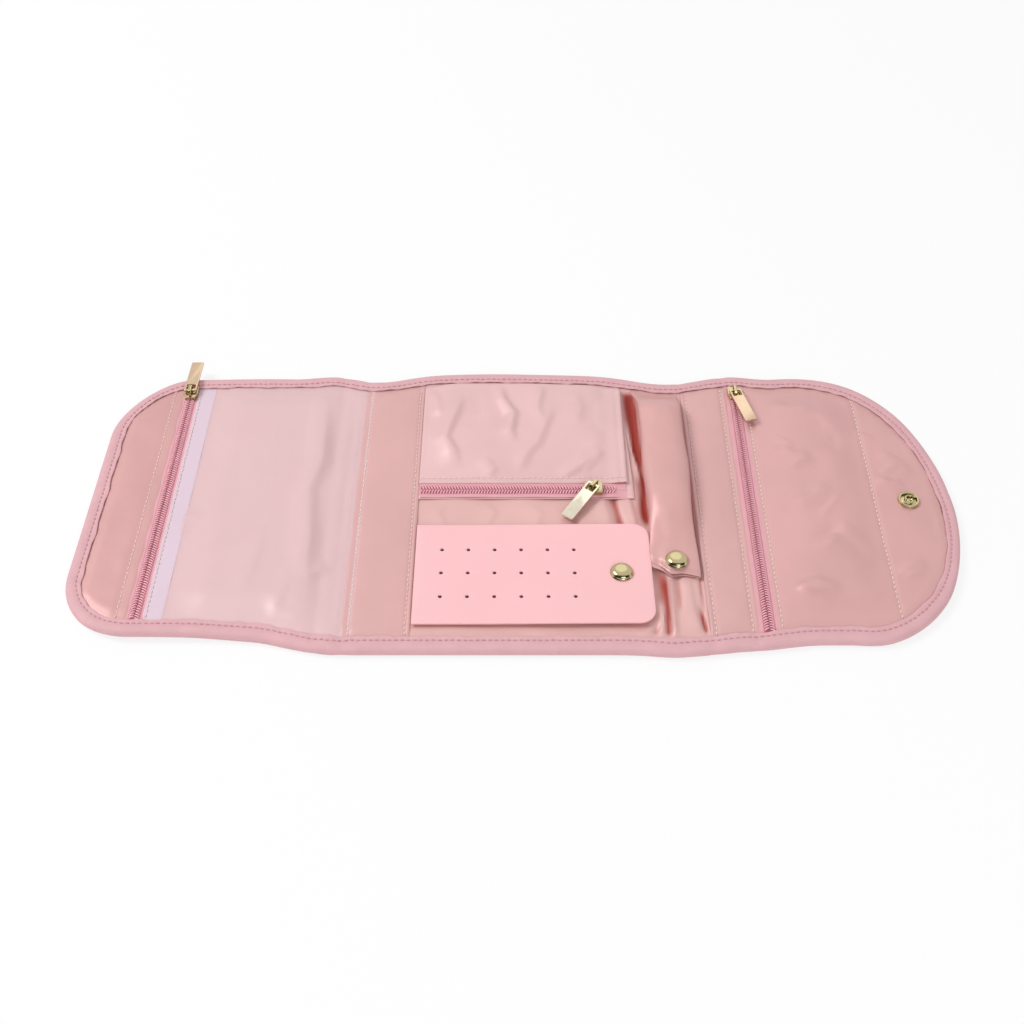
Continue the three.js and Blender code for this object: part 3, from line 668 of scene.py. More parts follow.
def sheetPiece(name, look, top, depth=None):
    xs, nearY, farY = sheetPlan(look)
    seams = look.get("seams", ())
    widest = float(np.max(farY - nearY))
    rows = stations(0, widest, look["rows"]) / widest
    x = np.repeat(xs[:, None], len(rows), 1)
    y = nearY[:, None] + (farY - nearY)[:, None] * rows[None, :]
    inside = np.minimum(y - nearY[:, None], farY[:, None] - y)
    if "left" not in seams:
        inside = np.minimum(inside, x - xs[0])
    if "right" not in seams:
        inside = np.minimum(inside, xs[-1] - x)
    flat = top(x, y)
    height = flat - look["rounding"] * (1 - smooth(0, edgeRound, inside))
    thickness = look["thickness"]
    under = flat - (thickness(x, y) if callable(thickness) else thickness)
    points = np.concatenate([
        np.stack([x, y, height], -1).reshape(-1, 3),
        np.stack([x, y, np.minimum(under, height - leastThickness)], -1).reshape(-1, 3),
    ])
    faces = gridFaces(len(xs), len(rows), x.size)
    # dark is the painted shade mask: how far a point sinks below the lining, or the mask given
    dark = depth(x, y) if depth else smooth(*paintedShadeRange, liningTop - height)
    return newPiece(name, drape(points), faces, look["cloth"], points[:, :2], np.tile(dark.ravel(), 2))


def sewSheet(name, look, top):  # makes and carries a sheet
    piece = sheetPiece(name, look, top)
    xs, nearY, farY = sheetPlan(look)
    widths = farY - nearY
    area = float(np.sum((widths[1:] + widths[:-1]) / 2 * np.diff(xs))) * mm * mm
    flat = ((xs[-1] - xs[0]) * mm, float(np.max(widths)) * mm)
    return carry(piece, look["holder"], look["slot"], *look["nodes"])


# Cover, padding and lining of each stretch between two seams

stretches = [
    {"name": "left_end", "x0": leftEnd, "x1": leftSeamX, "crease": leftOut,
     "seams": ["right"], "panels": ["left"]},
    {"name": "left_middle", "x0": leftSeamX, "x1": middleSeamX, "crease": leftIn,
     "seams": ["left", "right"], "panels": ["left_spine", "middle"]},
    {"name": "right_middle", "x0": middleSeamX, "x1": rightSeamX, "crease": rightIn,
     "seams": ["left", "right"], "panels": ["middle", "right_spine"]},
    {"name": "right_end", "x0": rightSeamX, "x1": rightEnd, "crease": rightOut,
     "seams": ["left"], "panels": ["right"]},
]
roundEnd = 0.9975  # a sheet stops just short of the flap's tip, where its width would run to nothing

liningFolds = [  # pleats and creases of the shiny lining, seen between the pieces sewn on it
    ([(75.5, -44), (76, -60), (75, -78)], 2.6, -1.1),
    ([(76, -72), (75.4, -86), (72.8, -106)], 1.5, 1.2),
    ([(79.2, -44), (79, -70), (77.8, -108)], 1.5, -2.2),
    ([(82, -46), (81.6, -72), (80.8, -106)], 1.7, 1.4),
    ([(85.6, -46), (85.8, -64), (85, -84)], 2.0, -1.0),
    ([(90, -50), (91.5, -78), (94, -100)], 2.6, 0.7),
    ([(95.2, -72), (97.4, -88), (99.8, -101), (101, -114)], 1.2, -2.2),
    ([(73, -84), (70, -95), (66, -108)], 1.6, -1.3),
    ([(72, -90), (60, -96), (40, -97)], 1.4, 0.8),
    ([(67.5, 132), (69.4, 80), (70.6, 40), (71.6, 4)], 3.3, -3.0),
    ([(71.4, 26), (71.8, -6), (72, -26)], 1.9, -2.6),
    ([(65, 70), (66.6, 42), (70.8, 12), (70.6, -4)], 1.3, 1.5),
    ([(61, 6), (63.5, -9), (65.5, -28)], 2.2, 1.0),
    ([(52.5, 8), (55.5, -9), (59.5, -30)], 2.5, -1.8),
    ([(45.5, 4), (49, -10), (51, -26)], 3.0, 0.7),
    ([(38, -6), (30, -13), (33, -26)], 3.0, -0.6),
    ([(-20, -3), (-14, -11), (-19, -22)], 3.0, 0.7),
    ([(-42, -3), (-46, -12), (-40, -22)], 2.8, 0.6),
    ([(4, -4), (12, -12), (9, -24)], 3.4, 0.6),
    ([(98, -98), (98, -60), (98, 20), (97.5, 98)], 1.9, -2.6),
]
lining = {"cloth": liningSatin, "slot": "satin", "held": "laid", "thickness": 0.5, "rounding": 0.3,
          "inset": 6.2, "middleStep": 1.1, "endStep": 3.2, "sunk": 0.1, "deepest": -3.0,
          "looseFrom": (leftIn + 2, leftIn + 9), "looseTo": (rightIn - 0.5, rightIn - 3.5), "looseEdge": 6,
          "ripple": (0.5, 26, 11)}


def liningSurface(x, y):
    middle = smooth(*lining["looseFrom"], x) * smooth(*lining["looseTo"], x)
    loose = middle * smooth(tape["width"], tape["width"] + lining["looseEdge"], edgeDistance(x, y))
    folds = wrinkles(x, y, liningFolds) + ripple(x, y, *lining["ripple"])
    return liningTop - lining["sunk"] + loose * np.maximum(folds, lining["deepest"])


cover = {"cloth": coverCloth, "slot": "cover_fabric", "held": "stretched", "rests": ["floor"],
         "thickness": 0.5, "rounding": 0.3, "inset": 6.5, "middleStep": 5, "endStep": 2.2, "top": 0.9,
         "ripple": (0.12, 40, 21)}
dimple = {"depth": 1.8, "flat": 0.6, "reach": 6}


def coverSurface(x, y):  # pressed in round the closure's stud and cap
    height = cover["top"] + ripple(x, y, *cover["ripple"])
    for node in ("closure_snap_cap", "closure_snap_stud"):
        middleX, middleY, _, _, radius = roundPlace(node)
        away = np.hypot(x - middleX, y - middleY)
        height = height + dimple["depth"] * smooth(radius + dimple["reach"], radius + dimple["flat"], away)
    return height


padding = {"cloth": padFoam, "rounding": 0.15, "inset": 1.6, "middleStep": 2.4, "endStep": 6, "fill": 0.5,
           "under": 0.2, "clear": 0.75, "recess": 1.3, "recessFrom": (58, 64), "recessTo": (102, 99),
           "edgeDrop": 1.6, "edgeReach": 6, "least": 0.35, "thickest": 1.2, "overCover": 0.12}


def padSurface(x, y):
    recess = padding["recess"] * smooth(*padding["recessFrom"], x) * smooth(*padding["recessTo"], x)
    flat = liningTop - lining["thickness"] - padding["under"]
    height = np.minimum(flat, liningSurface(x, y) - padding["clear"] - recess)
    atEdge = 1 - smooth(0, padding["edgeReach"], edgeDistance(x, y) - padding["inset"])
    return np.maximum(height - padding["edgeDrop"] * atEdge, cover["top"] + padding["least"])


def padThickness(x, y):
    return np.minimum(padding["thickest"], padSurface(x, y) - cover["top"] - padding["overCover"])


def flapEnd(inset):
    return outline["flapFarX"] + (rightEnd - inset - outline["flapFarX"]) * roundEnd


def stretchSpan(stretch, inset):
    start, end = stretch["x0"], stretch["x1"]
    dense = [(stretch["crease"], creaseBand, creaseStep)]
    if start == leftEnd:
        start = leftEnd + inset
        dense.append((start, 6, 0.8))
    if end == rightEnd:
        end = flapEnd(inset)
        dense.append((rightEnd - inset, 12, 0.8))
    return {"startX": start, "endX": end, "dense": dense}


def addLayers(stretch):
    name = stretch["name"]

    def layer(look, kind, **more):  # one layer's dictionary for this stretch
        inset = look["inset"]
        step = look["middleStep"] if "middle" in name else look["endStep"]
        return {
            **look, **stretchSpan(stretch, inset), "step": step, "rows": step, "seams": stretch["seams"],
            "near": lambda x: nearEdge(x, inset), "far": lambda x: farEdge(x, inset), "holder": name,
            "nodes": [f"{panel}_{kind}" for panel in stretch["panels"]], **more,
        }

    sewSheet("cover_" + name, layer(cover, "cover"), coverSurface)
    look = layer(padding, "padding", thickness=padThickness)
    pad = sheetPiece("padding_" + name, look, padSurface)
    carry(pad, name, "foam", *look["nodes"])
    sewSheet("lining_" + name, layer(lining, "lining", rests=[pad]), liningSurface)


for stretch in stretches:
    addLayers(stretch)
print("cover, padding and lining laid")


# Edge tape: folded over the edge and sewn through

tapeSection = [  # outer skin from the top lip round to the bottom lip, as (inset, height)
    (9.0, 5.9), (8.85, 6.34), (8.3, 6.48), (7.4, 6.4), (6.8, 6.24), (6.2, 6.06), (5.6, 6.2), (4.8, 6.38),
    (3.6, 6.42), (2.3, 6.26), (1.2, 5.8), (0.5, 5.0), (0.15, 4.0), (0, 2.8), (0.15, 1.6), (0.7, 0.7),
    (1.8, 0.2), (4, 0.03), (6.9, 0.06), (8.6, 0.08), (9.0, 0.3),
]


def edgeRun(stretch):  # points along the outer edge of a stretch, with the way inwards at each
    def run(xs, edge):
        return np.stack([xs, edge(xs)], -1)

    def bow(startX, reachX, reachY, turns, middleY):
        turns = np.radians(turns)
        return np.stack([startX + reachX * np.cos(turns), middleY + reachY * np.sin(turns)], -1)

    x0, x1 = stretch["x0"], stretch["x1"]
    if x0 == leftEnd:
        radius = outline["cornerRadius"]
        cornerX = leftEnd + radius
        high = halfWidth - drawIn - radius
        sideX = np.arange(x1, cornerX, -1.0)
        runs = [np.concatenate([
            run(sideX, farEdge),
            bow(cornerX, radius, radius, np.arange(90, 180, 2), high),
            np.stack([np.full(60, leftEnd), np.linspace(high, -high, 60)], -1),
            bow(cornerX, radius, radius, np.arange(182, 271, 2), -high),
            run(sideX[::-1], nearEdge),
        ])]
    elif x1 == rightEnd:
        tip = outline["flapTipY"]
        nearX, farX = outline["flapNearX"], outline["flapFarX"]
        runs = [np.concatenate([
            run(np.arange(x0, nearX, 1.0), nearEdge),
            bow(nearX, rightEnd - nearX, halfWidth + tip, np.arange(-90, 0, 1.5), tip),
            bow(farX, rightEnd - farX, halfWidth - drawIn - tip, np.arange(0, 91, 1.5), tip),
            run(np.arange(x0, farX, 1.0)[::-1], farEdge),
        ])]
    else:
        xs = np.arange(x0, x1 + 0.01, (x1 - x0) / round(x1 - x0))
        runs = [run(xs, nearEdge), run(xs[::-1], farEdge)]
    return [(points, squareTo(points)) for points in runs]


def squareTo(points):  # unit ways to the left of a flat line
    way = np.gradient(points, axis=0)
    way /= np.linalg.norm(way, axis=1)[:, None]
    return np.stack([-way[:, 1], way[:, 0]], -1)


def runLength(points):
    return np.concatenate([[0], np.cumsum(np.linalg.norm(np.diff(points, axis=0), axis=1))])


def tapePiece(name, points, ways):
    outer = np.array(tapeSection)
    inner = (outer + tape["thickness"] * squareTo(outer))[::-1]
    section = np.concatenate([outer, inner])
    along = runLength(points)
    x, y = points[:, 0][:, None], points[:, 1][:, None]
    inset = np.repeat(section[None, :, 0], len(points), 0)
    height = np.repeat(section[None, :, 1], len(points), 0)
    lip = smooth(*tape["lipFrom"], inset) * smooth(*tape["lipHeight"], height)
    first, second = tape["puckerWaves"]
    pucker = np.sin(2 * math.pi * (x + 0.7 * y) / first) + 0.7 * np.sin(2 * math.pi * (x - y) / second + 1)
    height = height + tape["pucker"] * lip * pucker
    first, second = tape["waverWaves"]
    wave = np.sin(2 * math.pi * (x + y) / first) + 0.6 * np.sin(2 * math.pi * (x - 0.8 * y) / second + 2)
    inset = inset + tape["waver"] * lip * wave
    place = points[:, None, :] + ways[:, None, :] * inset[..., None]
    solid = np.concatenate([place, height[..., None]], -1).reshape(-1, 3)
    index = np.arange(inset.size).reshape(inset.shape)
    faces = np.roll(tubeFaces(*inset.shape, True), 1, 1).tolist()
    faces += [index[0].tolist(), index[-1, ::-1].tolist()]
    cut = np.stack(np.broadcast_arrays(along[:, None], runLength(section)[None, :]), -1).reshape(-1, 2)
    piece = faceOut(newPiece(name, drape(solid), faces, bindingCloth, cut))
    return piece


def tubeFaces(columns, around, flip=False):
    index = np.arange(columns * around).reshape(columns, around)
    beside = np.roll(index, -1, 1)
    quads = np.stack([index[:-1], beside[:-1], beside[1:], index[1:]], -1).reshape(-1, 4)
    return quads[:, ::-1] if flip else quads


# Stitches: one short thread after another along a line

def groupTree(name, numbers, materialName):
    tree = bpy.data.node_groups.new(name, "GeometryNodeTree")
    sockets = [("Geometry", "Geometry"), *((label, "Float") for label in numbers), (materialName, "Material")]
    for label, kind in sockets:
        tree.interface.new_socket(label, in_out="INPUT", socket_type="NodeSocket" + kind)
    tree.interface.new_socket("Geometry", in_out="OUTPUT", socket_type="NodeSocketGeometry")
    start = tree.nodes.new("NodeGroupInput").outputs

    def node(kind, settings=None, inputs=None):
        return newNode(tree, kind, settings, inputs).outputs

    return tree, start, node


def alongLines(start, node):  # points a pitch apart, and how each is turned
    line = node("GeometryNodeMeshToCurve", {}, {"Mesh": start["Geometry"]})
    points = node(
        "GeometryNodeCurveToPoints", {"mode": "LENGTH"}, {"Curve": line["Curve"], "Length": start["Pitch"]},
    )
    turn = node("FunctionNodeAlignRotationToVector", {"axis": "X"}, {"Vector": points["Tangent"]})
    return points["Points"], turn["Rotation"]


def placeCopies(tree, node, inputs, material):
    copies = node("GeometryNodeInstanceOnPoints", {}, inputs)
    whole = node("GeometryNodeRealizeInstances", {}, {"Geometry": copies["Instances"]})
    even = node("GeometryNodeSetShadeSmooth", {}, {"Geometry": whole["Geometry"]})
    dyed = node("GeometryNodeSetMaterial", {}, {"Geometry": even["Geometry"], "Material": material})
    newNode(tree, "NodeGroupOutput", {}, {"Geometry": dyed["Geometry"]})
    return tree


def stitchTree():
    tree, start, node = groupTree("stitchRow", ["Pitch", "Length", "Width", "Rise", "Jitter"], "Thread")
    points, turn = alongLines(start, node)
    spread = node("ShaderNodeVectorMath", {"operation": "SCALE"}, {0: (1, 1, 0.2), "Scale": start["Jitter"]})
    less = node("ShaderNodeVectorMath", {"operation": "SCALE"}, {0: spread[0], "Scale": -1.0})
    shift = node(
        "FunctionNodeRandomValue", {"data_type": "FLOAT_VECTOR"}, {0: less[0], 1: spread[0], "Seed": 5},
    )
    placed = node("GeometryNodeSetPosition", {}, {"Geometry": points, "Offset": shift[0]})
    size = node("ShaderNodeCombineXYZ", {}, {"X": start["Length"], "Y": start["Width"], "Z": start["Rise"]})
    bead = node("GeometryNodeMeshUVSphere", {}, {"Segments": 8, "Rings": 5, "Radius": 0.5})
    copied = {"Points": placed["Geometry"], "Instance": bead["Mesh"], "Rotation": turn, "Scale": size[0]}
    return placeCopies(tree, node, copied, start["Thread"])


def grown(name, lines, tree, values):  # runs a tree on lines of points and keeps the plain mesh
    edges = []
    first = 0
    for line in lines:
        edges += [(first + i, first + i + 1) for i in range(len(line) - 1)]
        first += len(line)
    mesh = bpy.data.meshes.new(name + "_lines")
    mesh.from_pydata((np.concatenate(lines) * mm).tolist(), edges, [])
    base = addObject(name + "_lines", mesh)
    modifier = base.modifiers.new("grow", "NODES")
    modifier.node_group = tree
    for item in tree.interface.items_tree:
        if item.in_out == "INPUT" and item.name in values:
            modifier[item.identifier] = values[item.name]
    drawn = base.evaluated_get(bpy.context.evaluated_depsgraph_get())
    plain = bpy.data.meshes.new_from_object(drawn)
    plain.name = name
    piece = addObject(name, plain)
    bpy.data.objects.remove(base)
    bpy.data.meshes.remove(mesh)
    return piece


sewing = {"pitch": 3.2, "length": 2.3, "width": 0.8, "rise": 0.75, "jitter": 0.14, "above": 0.28,
          "points": 90}
stitchRows = stitchTree()


def stitches(name, lines, threadMaterial, holder, slotName):
    values = {key.title(): sewing[key] * mm for key in ("pitch", "length", "width", "rise", "jitter")}
    piece = grown(name, [drape(line) for line in lines], stitchRows, {**values, "Thread": threadMaterial})
    return carry(piece, holder, slotName)


def sewnOver(x, y, surface):  # a line of sewing just over a surface
    return np.stack([x, y, surface(x, y) + sewing["above"]], -1)


def sewnAlongY(x, surface, nearY, farY):
    y = np.linspace(nearY, farY, sewing["points"])
    return sewnOver(np.full_like(y, x), y, surface)


def addTape(stretch):
    runs = edgeRun(stretch)
    sides = [("", "")] if len(runs) == 1 else [("_near", "_front"), ("_far", "_back")]
    for (side, face), (points, ways) in zip(sides, runs):
        name = stretch["name"] + side
        piece = tapePiece("binding_" + name, points, ways)
        nodes = [f"{panel}_binding{face}" for panel in stretch["panels"]]
        carry(piece, stretch["name"], "binding_tape", *nodes)
        sewn = points + ways * tape["stitchAt"]
        lines = [np.concatenate([sewn, np.full((len(sewn), 1), height)], 1) for height in tape["sewnAt"]]
        stitches("binding_stitches_" + name, lines, tapeThread, stretch["name"], "binding_tape")


for stretch in stretches:
    addTape(stretch)
print("edge tape folded and sewn")


# Side zips: woven tapes and meshed coils

zipLook = {"tapeWidth": 6, "slit": 0.1, "bed": 2.7, "bedEdge": 0.5, "pitch": 1.65, "loop": 1.2, "wire": 0.4,
           "rise": 0.7, "apart": 1.45, "toothTurn": 28, "points": 120}


def coilTree():
    tree, start, node = groupTree("zipCoil", ["Pitch", "Loop", "Wire", "Rise", "Apart"], "Nylon")
    bow = node("GeometryNodeCurveArc", {"mode": "RADIUS"}, {
        "Resolution": 7, "Radius": start["Loop"], "Start Angle": 0.0, "Sweep Angle": math.pi,
    })
    wire = node("GeometryNodeCurvePrimitiveCircle", {"mode": "RADIUS"}, {
        "Resolution": 6, "Radius": start["Wire"],
    })
    tooth = node("GeometryNodeCurveToMesh", {}, {
        "Curve": bow["Curve"], "Profile Curve": wire["Curve"], "Fill Caps": True,
    })
    height = node("ShaderNodeCombineXYZ", {}, {"X": 1.0, "Y": start["Rise"], "Z": 1.0})
    pair = newNode(tree, "GeometryNodeJoinGeometry")
    for side in (1, -1):
        times = {"operation": "MULTIPLY"}
        offset = node("ShaderNodeMath", times, {0: start["Apart"], 1: float(side)})
        step = node("ShaderNodeMath", times, {0: start["Pitch"], 1: 0.25 * side})
        place = node("ShaderNodeCombineXYZ", {}, {"X": step[0], "Y": offset[0]})
        lean = math.pi / 2 + math.radians(zipLook["toothTurn"] * side)
        standing = node("GeometryNodeTransform", {}, {
            "Geometry": tooth["Mesh"], "Translation": place[0], "Rotation": (math.pi / 2, 0.0, lean),
            "Scale": height[0],
        })
        tree.links.new(standing["Geometry"], pair.inputs["Geometry"])
    points, turn = alongLines(start, node)
    copied = {"Points": points, "Instance": pair.outputs["Geometry"], "Rotation": turn}
    return placeCopies(tree, node, copied, start["Nylon"])


zipCoils = coilTree()


def addCoil(name, start, end, height, holder, node):
    line = np.linspace([*start, height], [*end, height], zipLook["points"])
    values = {key.title(): zipLook[key] * mm for key in ("pitch", "loop", "wire", "apart")}
    values.update({"Rise": zipLook["rise"], "Nylon": coilNylon})
    piece = grown(name, [drape(line)], zipCoils, values)
    return carry(piece, holder, "zip_coil", node)


def coilBedShade(away):  # painted shade on the tape under the coil, full across bed and fading over bedEdge
    return smooth(zipLook["bed"] + zipLook["bedEdge"], zipLook["bed"], np.abs(away))


sideTape = {"cloth": zipCloth, "thickness": 0.5, "rounding": 0.15, "rows": 2.5, "step": 0.9, "above": 0.1,
            "ripple": (0.1, 24, 5)}
sideTapeTop = liningTop + sideTape["above"] + sideTape["thickness"]


def sideZip(side, zipX, holder):
    for edge, direction in (("outer", -1), ("inner", 1)):
        startX, endX = sorted(zipX + direction * zipLook[key] for key in ("slit", "tapeWidth"))
        piece = sheetPiece(
            f"{side}_zip_tape_{edge}_woven", {**sideTape, "startX": startX, "endX": endX},
            lambda x, y: tucked(x, y, sideTapeTop + ripple(x, y, *sideTape["ripple"])),
            # painted shade under the coil
            lambda x, y: coilBedShade(x - zipX),
        )
        carry(piece, holder, "zip_tape", f"{side}_zip_tape_{edge}")
    ends = [(zipX, float(edge(zipX, tape["width"] + 1))) for edge in (nearEdge, farEdge)]
    addCoil(f"{side}_zip_coil_loops", *ends, sideTapeTop + sideTape["above"], holder, f"{side}_zip_coil")


sideZip("left", leftZipX, "left_panel")
sideZip("right", rightZipX, "right_panel")
print("side zips made")


# Left panel: end strip, window hem and window film

endStrip = {"cloth": endSatin, "slot": "satin", "held": "laid", "rests": ["lining_left_end"],
            "holder": "left_panel", "nodes": ["left_end_strip"], "thickness": 0.55, "rounding": 0.3,
            "rows": 2.2, "step": 1.6, "startX": leftEnd + tape["width"] - 0.6, "endX": leftZipX - 4.2,
            "sewX": leftZipX - 9.9, "sewInset": 1.5, "above": 0.85, "puff": 0.5, "puffReach": 12,
            "slack": 0.8, "edgeWave": 0.12, "edgeWaveLength": 23, "ripple": (0.2, 34, 3)}
endStripFolds = [
    ([(-228, 40), (-220, 20), (-224, -8)], 6, 0.35), ([(-216, -20), (-222, -45), (-215, -70)], 5, -0.3),
]


def endStripTop(x, y):
    puffed = endStrip["puff"] * smooth(endStrip["endX"], endStrip["endX"] - endStrip["puffReach"], x)
    puffed = puffed + wrinkles(x, y, endStripFolds) + ripple(x, y, *endStrip["ripple"])
    wave = endStrip["edgeWave"] * np.sin(y * 2 * math.pi / endStrip["edgeWaveLength"])
    height = liningTop + endStrip["above"] + puffed * endStrip["slack"] + wave * hump(x, endStrip["endX"], 3)
    return tucked(x, y, height + seamValley(x, endStrip["sewX"]))


sewSheet("end_strip", endStrip, endStripTop)
reach = float(farEdge(endStrip["sewX"], tape["width"])) - endStrip["sewInset"]
line = sewnAlongY(endStrip["sewX"], endStripTop, -reach, reach)
stitches("end_strip_stitches", [line], paleThread, "left_panel", "satin")

windowHem = {"cloth": hemFilm, "slot": "film", "held": "stretched", "rests": ["left_zip_tape_inner_woven"],
             "holder": "left_panel", "nodes": ["window_hem"], "thickness": 0.35, "rounding": 0.15,
             "rows": 2.5, "step": 1.2, "startX": leftZipX + 4.3, "sewX": leftZipX + 5.9,
             "endX": leftZipX + 14.6, "sewY": 88, "above": 1.0, "valley": 0.2, "ripple": (0.15, 30, 8)}


def hemTop(x, y):
    valley = seamValley(x, windowHem["sewX"], windowHem["valley"])
    return tucked(x, y, liningTop + windowHem["above"] + valley + ripple(x, y, *windowHem["ripple"]))


hem = sewSheet("window_hem_band", windowHem, hemTop)
line = sewnAlongY(windowHem["sewX"], hemTop, -windowHem["sewY"], windowHem["sewY"])
stitches("window_hem_stitches", [line], paleThread, "left_panel", "film")

hemX, filmSeamX = windowHem["endX"], leftIn - bendHalf
marginWidth = 10.2
windowFilm = {"cloth": clearFilm, "slot": "film", "held": "laid", "rests": ["lining_left_end"],
              "holder": "left_end", "nodes": ["window_film"], "thickness": 0.2, "rounding": 0.05, "rows": 1.8,
              "step": 1.5, "startX": hemX - 1.5, "endX": filmSeamX, "seams": ["right"], "withPieces": [hem],
              "dense": [(leftOut, creaseBand, creaseStep)], "above": 0.75, "lowest": -0.2, "rise": 3.0,
              "riseFrom": (hemX - 1, hemX + 22), "riseTo": (filmSeamX - 1, leftOut - 14), "riseEdge": (6, 30),
              "looseTo": (filmSeamX - 1, leftOut - 4), "looseEdge": (9, 16)}
filmMargin = {**windowFilm, "rows": 2.5, "startX": filmSeamX, "endX": filmSeamX + marginWidth,
              "seams": ["left"], "dense": [(leftIn, creaseBand, creaseStep)]}
filmFolds = [
    ([(-117, 90), (-116.7, 66), (-114.7, 27), (-119.8, 3), (-116, -31), (-116, -58), (-112.6, -88)],
     6.5, 2.7),
    ([(-126, 90), (-126, 62), (-124, 24), (-129, 0), (-126, -34), (-126, -60), (-122, -88)], 5, -1.2),
    ([(-101, 90), (-101, 40), (-102, 0), (-100, -40), (-101, -90)], 3.5, 1.2),
    ([(-101, -52), (-108, -56), (-116, -62)], 3.5, 1.3),
    ([(-142.5, -20), (-143.7, -47), (-148.5, -76)], 5, 0.9),
    ([(-177, -10), (-185, -20), (-190, -32)], 4.5, 0.8),
    ([(-134, -79), (-121, -84), (-110, -86)], 4, 0.6),
    ([(-127, -44), (-125, -64), (-129, -86)], 4.5, 1.1),
    ([(-150, 80), (-146, 40), (-150, 0)], 9, 0.6),
    ([(-168, 60), (-162, 10), (-166, -40)], 10, -0.5),
]


def filmTop(x, y):
    inside = edgeDistance(x, y)
    along = smooth(*windowFilm["riseFrom"], x) * smooth(*windowFilm["riseTo"], x)
    loose = wrinkles(x, y, filmFolds) * smooth(*windowFilm["looseTo"], x)
    puffed = windowFilm["rise"] * along * smooth(*windowFilm["riseEdge"], inside)
    puffed = puffed + loose * smooth(*windowFilm["looseEdge"], inside)
    return tucked(x, y, liningTop + windowFilm["above"] + np.maximum(puffed, windowFilm["lowest"]))


sewSheet("window_film_sheet", windowFilm, filmTop)
margin = sheetPiece("window_film_margin", filmMargin, filmTop)
carry(margin, "left_middle", "film", "window_film_edge")
print("window pocket laid")


# Middle: the strip over the left seam

seamStripEnd = boxMm("seam_strip")[1][0] - 0.3
seamStripSew = seamStripEnd - 2.6
seamStrip = {"cloth": panelSatin, "slot": "satin", "held": "stretched", "rests": ["lining_left_middle"],
             "holder": "left_middle", "nodes": ["seam_strip"], "thickness": 0.6, "rounding": 0.3, "rows": 2.0,
             "step": 1.4, "startX": leftIn - 1.2, "endX": seamStripEnd,
             "sewX": (leftIn + 2.7, seamStripSew), "sewNear": 1.5, "sewFar": 6, "above": 1.0,
             "puff": 0.4, "puffReach": 9, "slack": 0.22, "slackFrom": 6, "ripple": (1, 40, 13), "valley": 0.4,
             "dense": [(leftIn, creaseBand, creaseStep), (seamStripSew, 2, 0.5)]}


def seamStripTop(x, y):
    leftX, rightX = seamStrip["sewX"]
    reach = seamStrip["puffReach"]
    puffed = seamStrip["puff"] * smooth(leftX, leftX + reach, x) * smooth(rightX, rightX - reach, x)
    slack = seamStrip["slack"] * smooth(seamStrip["endX"], rightX - seamStrip["slackFrom"], x)
    height = liningTop + seamStrip["above"] + puffed + slack * ripple(x, y, *seamStrip["ripple"])
    return tucked(x, y, height + seamValley(x, leftX) + seamValley(x, rightX, seamStrip["valley"]))


sewSheet("seam_strip_satin", seamStrip, seamStripTop)
nearY, farY = seamStrip["sewNear"] - innerY, innerY - seamStrip["sewFar"]
lines = [sewnAlongY(x, seamStripTop, nearY, farY) for x in seamStrip["sewX"]]
stitches("seam_strip_stitches", lines, paleThread, "left_middle", "satin")


# Zip pouch

pouchBox = boxMm("pouch_front")
pouchBackBox = boxMm("pouch_back")
pouchZipY = middleOf(boxMm("pouch_zip_coil"))[1]
pouchCorner = 3.5
pouchBack = {"cloth": pouchSatin, "slot": "satin", "held": "laid", "rests": ["lining_left_middle"],
             "holder": "middle", "nodes": ["pouch_back"], "thickness": 0.45, "rounding": 0.3, "rows": 2.4,
             "step": 2.2, "startX": pouchBackBox[0][0] - 0.6, "endX": pouchBackBox[1][0] + pouchCorner,
             "near": straight(pouchBackBox[0][1]), "cornerY": 10, "above": 0.75, "rise": 0.5,
             "riseX": (58, 66), "ripple": (0.2, 20, 6)}


def pouchBackTop(x, y):
    rise = pouchBack["rise"] * smooth(*pouchBack["riseX"], x)
    return tucked(x, y, liningTop + pouchBack["above"] + ripple(x, y, *pouchBack["ripple"]) + rise)


def pouchBackFar(x):  # slants off at its right end
    cutBack = np.clip((x - pouchBackBox[1][0]) / pouchCorner, 0, 1)
    return lipFar(x) * (1 - cutBack) + (pouchBackBox[0][1] + pouchBack["cornerY"]) * cutBack


backPiece = sewSheet("pouch_back_satin", {**pouchBack, "far": pouchBackFar}, pouchBackTop)

